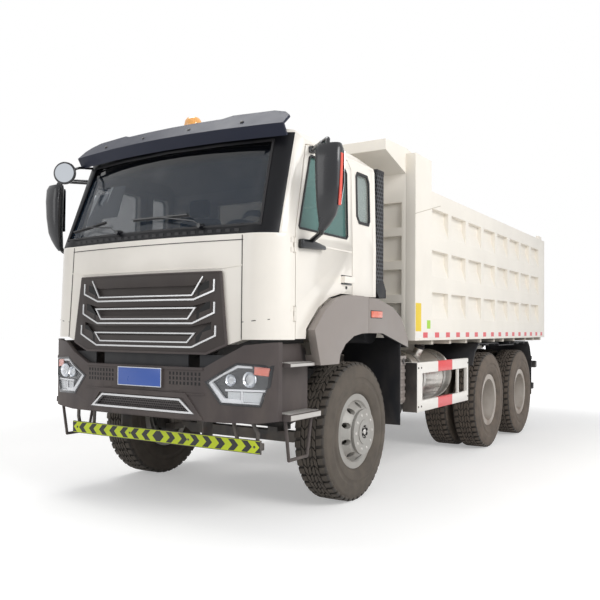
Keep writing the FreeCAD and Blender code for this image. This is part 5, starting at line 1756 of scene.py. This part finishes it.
    def steps(self, side: Side) -> None:
        """Bright treads and grip studs on one side's steps.

        Args:
            side: The truck's side.
        """
        treads, studs = Shape(), Shape()
        for x in self.tread_xs:
            treads.box((x - 0.010, -1.060, 1.139), (x + 0.010, -0.755, 1.1435), 0.001)
            treads.box((x - 0.010, -1.060, 0.789), (x + 0.012, -0.670, 0.7945), 0.001)
        treads.box((1.176, -1.064, 1.116), (1.1845, -0.750, 1.137), 0.001)
        treads.box((1.1815, -1.064, 0.750), (1.1895, -0.665, 0.785), 0.001)
        treads.on(side).piece(f"step_treads_{side.word}", "chassis", BRIGHT)
        for row, x, (pitch, z) in product(range(12), self.tread_xs, ((0.025, 1.143), (0.031, 0.794))):
            y = -1.040 + row * pitch
            studs.tube((x, y, z), (x, y, z + 0.0025), 0.005, 0.003, sides=8)
        studs.on(side).piece(f"step_studs_{side.word}", "chassis", BRIGHT)

    def build(self) -> None:
        """Makes the cab's sides and room."""
        for node in ("cab_roof", "cab_rear_wall", "cab_sides"):
            self.dress(node, IVORY, 0.005, 2)
        self.dress("cab_floor", CHASSIS)
        self.dress("wheel_arches", FLARE, 0.020, 3)
        self.dress("cab_steps", TAUPE, 0.004)
        for side in Side:
            name = side.word
            self.dress(f"door_{name}", IVORY, 0.005, 2)
            self.dress(f"door_glass_{name}", SIDE_GLASS if side is Side.LEFT else PALE_GLASS)
            self.door(side)
            self.quarter(side)
            self.mirror(side)
            self.steps(side)
        self.kerb()
        self.interior()


# ---------------------------------------------------------------- chassis
@dataclass(frozen=True)
class Chassis(Assembly):
    """Frame trims, guards, boxes, tanks and the intake column."""

    rail_x: float = 0.430
    guard_x: float = 1.234

    def frame_bolts(self) -> None:
        """Bolt rows on the rails, and the brake pipes inside them."""
        bolts = Shape()
        for y in (0.62, 0.80, 1.10, 1.32, 1.52, 2.35, 2.55, 2.95, 3.10, 4.65, 4.95, 5.25, 5.45):
            bolts.bolts([(self.rail_x, y, z) for z in (0.790, 0.870, 0.950)], 0.010, 0.012, (1, 0, 0))
        bolts.both().piece("rail_bolts", "chassis", STEEL)
        lines = Shape().pipe([(0.300, -0.9, 0.985), (0.300, 5.4, 0.985)], 0.012)
        lines.pipe([(0.318, 0.5, 0.960), (0.318, 5.2, 0.960)], 0.008)
        lines.piece("brake_pipes", "chassis", BLACK)

    def boxes(self) -> None:
        """The ribbed battery box and its clasps."""
        x = 1.120
        ribs = Shape()
        for z in (0.735, 0.800, 0.865, 0.930, 0.995, 1.060):
            ribs.box((x - 0.002, 0.885, z - 0.016), (x + 0.010, 0.995, z + 0.016), 0.006, 2)
        ribs.box((x - 0.25, 0.866, 1.100), (x + 0.012, 1.008, 1.134), 0.006, 2)
        ribs.piece("battery_ribs", "chassis", FLARE)
        clasps = Shape().box((x + 0.008, 0.925, 1.060), (x + 0.018, 0.955, 1.112), 0.003)
        clasps.piece("battery_clasp", "chassis", STEEL)

    def tanks(self) -> None:
        """The tank's straps, beads and filler cap."""
        x, z, radius = 0.860, 0.900, 0.262
        straps = Shape()
        for y in (1.440, 1.980):
            straps.turned([(y, radius + 0.0005), (y, radius + 0.0065), (y + 0.060, radius + 0.0065),
                           (y + 0.060, radius + 0.0005)], (x, 0, z), 64, (0, 1, 0))
            straps.bolts([(x + 0.262, y + 0.03, z + 0.06)], 0.008, 0.016, (1, 0, 0))
        straps.piece("tank_straps", "chassis", BRIGHT)
        bands = Shape()
        for y in (1.300, 2.205):
            bands.turned([(y, radius - 0.001), (y + 0.004, radius + 0.004), (y + 0.014, radius + 0.004),
                          (y + 0.018, radius - 0.001)], (x, 0, z), 64, (0, 1, 0))
        bands.piece("tank_beads", "chassis", TANK)
        cap = Shape().turned([(0.0, 0.046), (0.004, 0.052), (0.026, 0.052), (0.032, 0.044), (0.034, 0.0)],
                             (0.990, 1.650, 1.190), 32, (0.39, 0, 0.92), False)
        cap.piece("filler_cap", "chassis", BLACK)

    def guards(self) -> None:
        """The chevron board's face and rim, the side guards' bolts and the rear guards' pads."""
        board = Shape().box((-0.950, -1.0875, 0.508), (0.950, -1.0855, 0.596), 0.0)
        board.piece("chevron_face", "chassis", BOARD)
        rim = Shape().swept([(-0.952, -1.087, 0.506), (0.952, -1.087, 0.506), (0.952, -1.087, 0.598),
                             (-0.952, -1.087, 0.598)], 0.004, 0.003, up=(0, -1, 0), closed=True)
        rim.bolts([(x, -1.086, 0.552) for x in (-0.9, -0.3, 0.3, 0.9)], 0.007, 0.005)
        rim.piece("board_rim", "chassis", STEEL)
        spots = [(self.guard_x, y, z) for y in (1.05, 1.12, 2.43) for z in (0.660, 1.020)]
        Shape().bolts(spots, 0.007, 0.006, (1, 0, 0)).both().piece("guard_bolts", "chassis", STEEL)
        raised = Shape()
        for y in (2.90, 3.24, 3.58, 4.23, 4.57, 4.91):
            raised.box((0.90, y - 0.060, 1.1935), (1.20, y + 0.060, 1.2255), 0.006)
        raised.both().piece("guard_pads", "chassis", BLACK)

    def markers(self) -> None:
        """The orange lamps on the rear halves of the front arches."""
        base = Shape().box((1.208, 0.085, 1.466), (1.2170, 0.305, 1.532), 0.004, 2)
        base.both().piece("marker_bases", "chassis", BLACK)
        lens = Shape().box((1.214, 0.092, 1.472), (1.2235, 0.298, 1.526), 0.005, 2)
        lens.both().piece("marker_lenses", "chassis", ORANGE)

    def intake(self) -> None:
        """The pierced column and its black cap."""
        wrap = Shape().plate(Plane.SIDE, [(0.350, 2.725), (0.350, 1.760), (0.482, 1.800), (0.482, 2.725)],
                             1.008, 1.142, 0.004)
        wrap.piece("column_mesh", "chassis", PIERCED)
        cap = Shape().box((1.005, 0.347, 2.715), (1.145, 0.485, 2.744), 0.006, 2)
        cap.piece("column_cap", "chassis", BLACK)

    def build(self) -> None:
        """Makes the chassis trims and dresses its nodes."""
        for node, finish, soften in (
                ("chassis_frame", CHASSIS, 0.003), ("tipper_subframe", CHASSIS, 0.003),
                ("front_axle", STEEL, 0.006), ("leaf_springs", STEEL, 0.002),
                ("drive_axles", STEEL, 0.005), ("engine", STEEL, 0.012),
                ("propshafts", STEEL, 0.003), ("underrun_bar", STEEL, 0.003), ("mudguards", BLACK, 0.004),
                ("side_guards", GUARD, 0.006), ("tanks", TANK, 0.003), ("chassis_boxes", FLARE, 0.010),
                ("intake_stack", BLACK, 0.010), ("rear_bar", CHASSIS, 0.004)):
            self.dress(node, finish, soften)
        self.recolour("side_guards", CHASSIS, lambda p: abs(p.x) < 1.195 or p.y < 1.012)
        self.recolour("mudguards", FLARE, lambda p: p.y < 0.53 and p.z > 1.30 and abs(p.x) > 0.98)
        self.dress("hoist_barrel", BED_IVORY)
        for stage in (1, 2, 3):
            self.dress(f"hoist_stage_{stage}", CHROME)
        self.frame_bolts()
        self.boxes()
        self.tanks()
        self.guards()
        self.markers()
        self.intake()


# ---------------------------------------------------------------- bed
@dataclass(frozen=True)
class Bed(Assembly):
    """The bed's tapes, labels and seams, and the feet of its pockets."""

    front: float = 0.934
    rear: float = 5.934
    half: float = 1.248
    pocket_deep: float = 0.048
    pocket_low: float = 1.482
    pocket_high: float = 2.545
    columns: int = 8
    levels: int = 3

    def tapes(self) -> None:
        """Tape along the skirt, the yellow strip, the blank label, the skirt's lip and the head's seam."""
        x = self.half
        for name, finish, y0, y1, z0, z1, off, bevel in (
                ("skirt_tape", SKIRT_TAPE, self.front + 0.010, self.rear - 0.10, 1.300, 1.350, 0.0012, 0.0),
                ("yellow_strip", YELLOW, self.front + 0.010, self.front + 0.140, 1.360, 1.620, 0.0012, 0.0),
                ("blank_label", GREEN, self.front + 0.285, self.front + 0.370, 1.385, 1.465, 0.0012, 0.0),
                ("skirt_lip", BED_IVORY, self.front + 0.10, self.front + 0.24, 1.276, 1.300, 0.006, 0.003)):
            Shape().box((x - 0.002, y0, z0), (x + off, y1, z1), bevel).both().piece(name, "bed", finish)
        seam = Shape().swept([(x, self.front - 0.001, 2.436), (x, self.front + 0.632, 2.598)], 0.007, 0.003,
                             up=(1, 0, 0))
        seam.both().piece("head_seam", "bed", BED_SHADE)

    def pockets(self) -> None:
        """Sloped feet in the side walls' pockets."""
        first, last = self.front + 0.393 + 0.020, self.rear - 0.424
        pitch = (last - first + 0.096) / self.columns
        rise = (self.pocket_high - self.pocket_low + 0.150) / self.levels
        x, edge = self.half - self.pocket_deep - 0.001, self.half - 0.001
        slopes = Shape()
        for column, level in product(range(self.columns), range(self.levels)):
            y, z = first + column * pitch, self.pocket_low + level * rise
            slopes.plate(Plane.FRONT, [(x, z - 0.001), (edge, z - 0.001), (x, z + 0.150)], y - 0.001,
                         y + pitch - 0.095, 0.0)
        slopes.both().piece("pocket_slopes", "bed", BED_IVORY)

    def build(self) -> None:
        """Makes the bed's trims and dresses its nodes."""
        self.dress("bed_floor", BED_INSIDE, 0.004)
        for node in ("bed_sides", "bed_front_wall", "tailgate"):
            self.dress(node, BED_IVORY, 0.009, 3)
        self.tapes()
        self.pockets()


# ---------------------------------------------------------------- studio
@dataclass(frozen=True)
class Studio:
    """A pale floor, soft light and the camera."""

    place: Point = (3.788, -7.4685, 1.377)
    yaw: float = 32.41
    pitch: float = 0.996
    roll: float = 0.356
    lens: float = 42.816
    shift: Spot = (0.01217, 0.02717)

    def camera(self) -> None:
        """Sets the camera at the front left, a little above bumper height."""
        data = bpy.data.cameras.new("camera")
        data.sensor_width, data.lens = 36.0, self.lens
        data.shift_x, data.shift_y = self.shift
        data.clip_end = 200.0
        yaw, pitch, roll = (math.radians(a) for a in (self.yaw, self.pitch, self.roll))
        ahead = Vector((-math.sin(yaw) * math.cos(pitch), math.cos(yaw) * math.cos(pitch), math.sin(pitch)))
        flat = Vector((math.cos(yaw), math.sin(yaw), 0.0))
        above = flat.cross(ahead)
        right = flat * math.cos(roll) + above * math.sin(roll)
        up = above * math.cos(roll) - flat * math.sin(roll)
        turn = Matrix((right, up, -ahead)).transposed().to_4x4()
        made = bpy.data.objects.new("camera", data)
        made.matrix_world = Matrix.Translation(self.place) @ turn
        bpy.context.scene.collection.objects.link(made)
        bpy.context.scene.camera = made

    def floor(self) -> None:
        """A wide floor that is white to the camera and keeps the truck's shadow."""
        mesh = bmesh.new()
        bmesh.ops.create_grid(mesh, x_segments=2, y_segments=2, size=60.0)
        data = bpy.data.meshes.new("floor")
        mesh.to_mesh(data)
        mesh.free()
        made = bpy.data.objects.new("floor", data)
        bpy.context.scene.collection.objects.link(made)
        graph = Graph(bpy.data.materials.new("floor"))
        place = graph.place()
        tone = graph.mix(graph.noise(place, 0.8, 4.0), tint("#dedddb"), tint("#e4e3e1"))
        reach = graph.node("ShaderNodeVectorMath", {"operation": "LENGTH"}, [place], output="Value")
        far = reach.rising(4.0, 9.0)
        graph.set(Base_Color=tone, Roughness=0.85, Emission_Color=(1.0, 1.0, 1.0, 1.0),
                  Emission_Strength=graph.seen() * (far * 0.5 + 0.34))
        data.materials.append(graph.owner)
        made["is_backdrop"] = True

    def light(self, name: str, place: Point, aim: Point, size: float, watts: float) -> None:
        """One square soft light.

        Args:
            name: Its name.
            place: Where it hangs.
            aim: The point that it faces.
            size: The length of its side.
            watts: Its power.
        """
        data = bpy.data.lights.new(name, "AREA")
        data.shape, data.size, data.energy = "SQUARE", size, watts
        made = bpy.data.objects.new(name, data)
        turn = (Vector(aim) - Vector(place)).to_track_quat("-Z", "Y")
        made.matrix_world = Matrix.Translation(place) @ turn.to_matrix().to_4x4()
        bpy.context.scene.collection.objects.link(made)

    def world(self) -> None:
        """Even pale light, and white where the camera, gloss and glass look past the truck."""
        world = bpy.data.worlds.new("studio")
        graph = Graph(world, "ShaderNodeOutputWorld", "ShaderNodeMixShader")
        soft, white = (graph.node("ShaderNodeBackground", inputs={"Color": colour, "Strength": strength})
                       for colour, strength in ((tint("#f4f6fa"), 0.48), ((1.0, 1.0, 1.0, 1.0), 1.0)))
        for socket, value in zip(graph.shader.inputs, (graph.seen(), soft, white)):
            graph.feed(socket, value)
        bpy.context.scene.world = world

    def build(self) -> None:
        """Sets up everything round the truck."""
        self.camera()
        self.floor()
        self.world()
        self.light("key", (10.1, -5.2, 7.4), (0, -1.5, 1.4), 5.0, 615.0)
        self.light("top", (-2.5, -2.0, 9.5), (0, 0, 1.0), 4.0, 330.0)
        self.light("front", (-4.0, -10.0, 4.5), (0, -3.0, 1.6), 5.0, 130.0)
        self.light("side", (9.5, -2.0, 5.0), (0, -1.5, 1.4), 6.0, 180.0)
        bpy.context.scene.view_settings.view_transform = "Standard"


def corners() -> list[list[float]]:
    """The whole model's lowest and highest corners."""
    return [list(corner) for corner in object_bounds()]


def main() -> None:
    """Builds the truck and reports its pieces."""
    logging.basicConfig(level=logging.INFO, format="%(name)s: %(message)s")
    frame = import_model()
    layout = Layout.read()
    Shape.layout, Assembly.nodes = layout, frame["nodes"]
    Studio().build()
    for assembly in (Wheels(layout), Bumper(), Face(), Cab(), Chassis(), Bed()):
        assembly.build()
        LOG.info("%s done", type(assembly).__name__.lower())


if __name__ == "__main__":
    main()
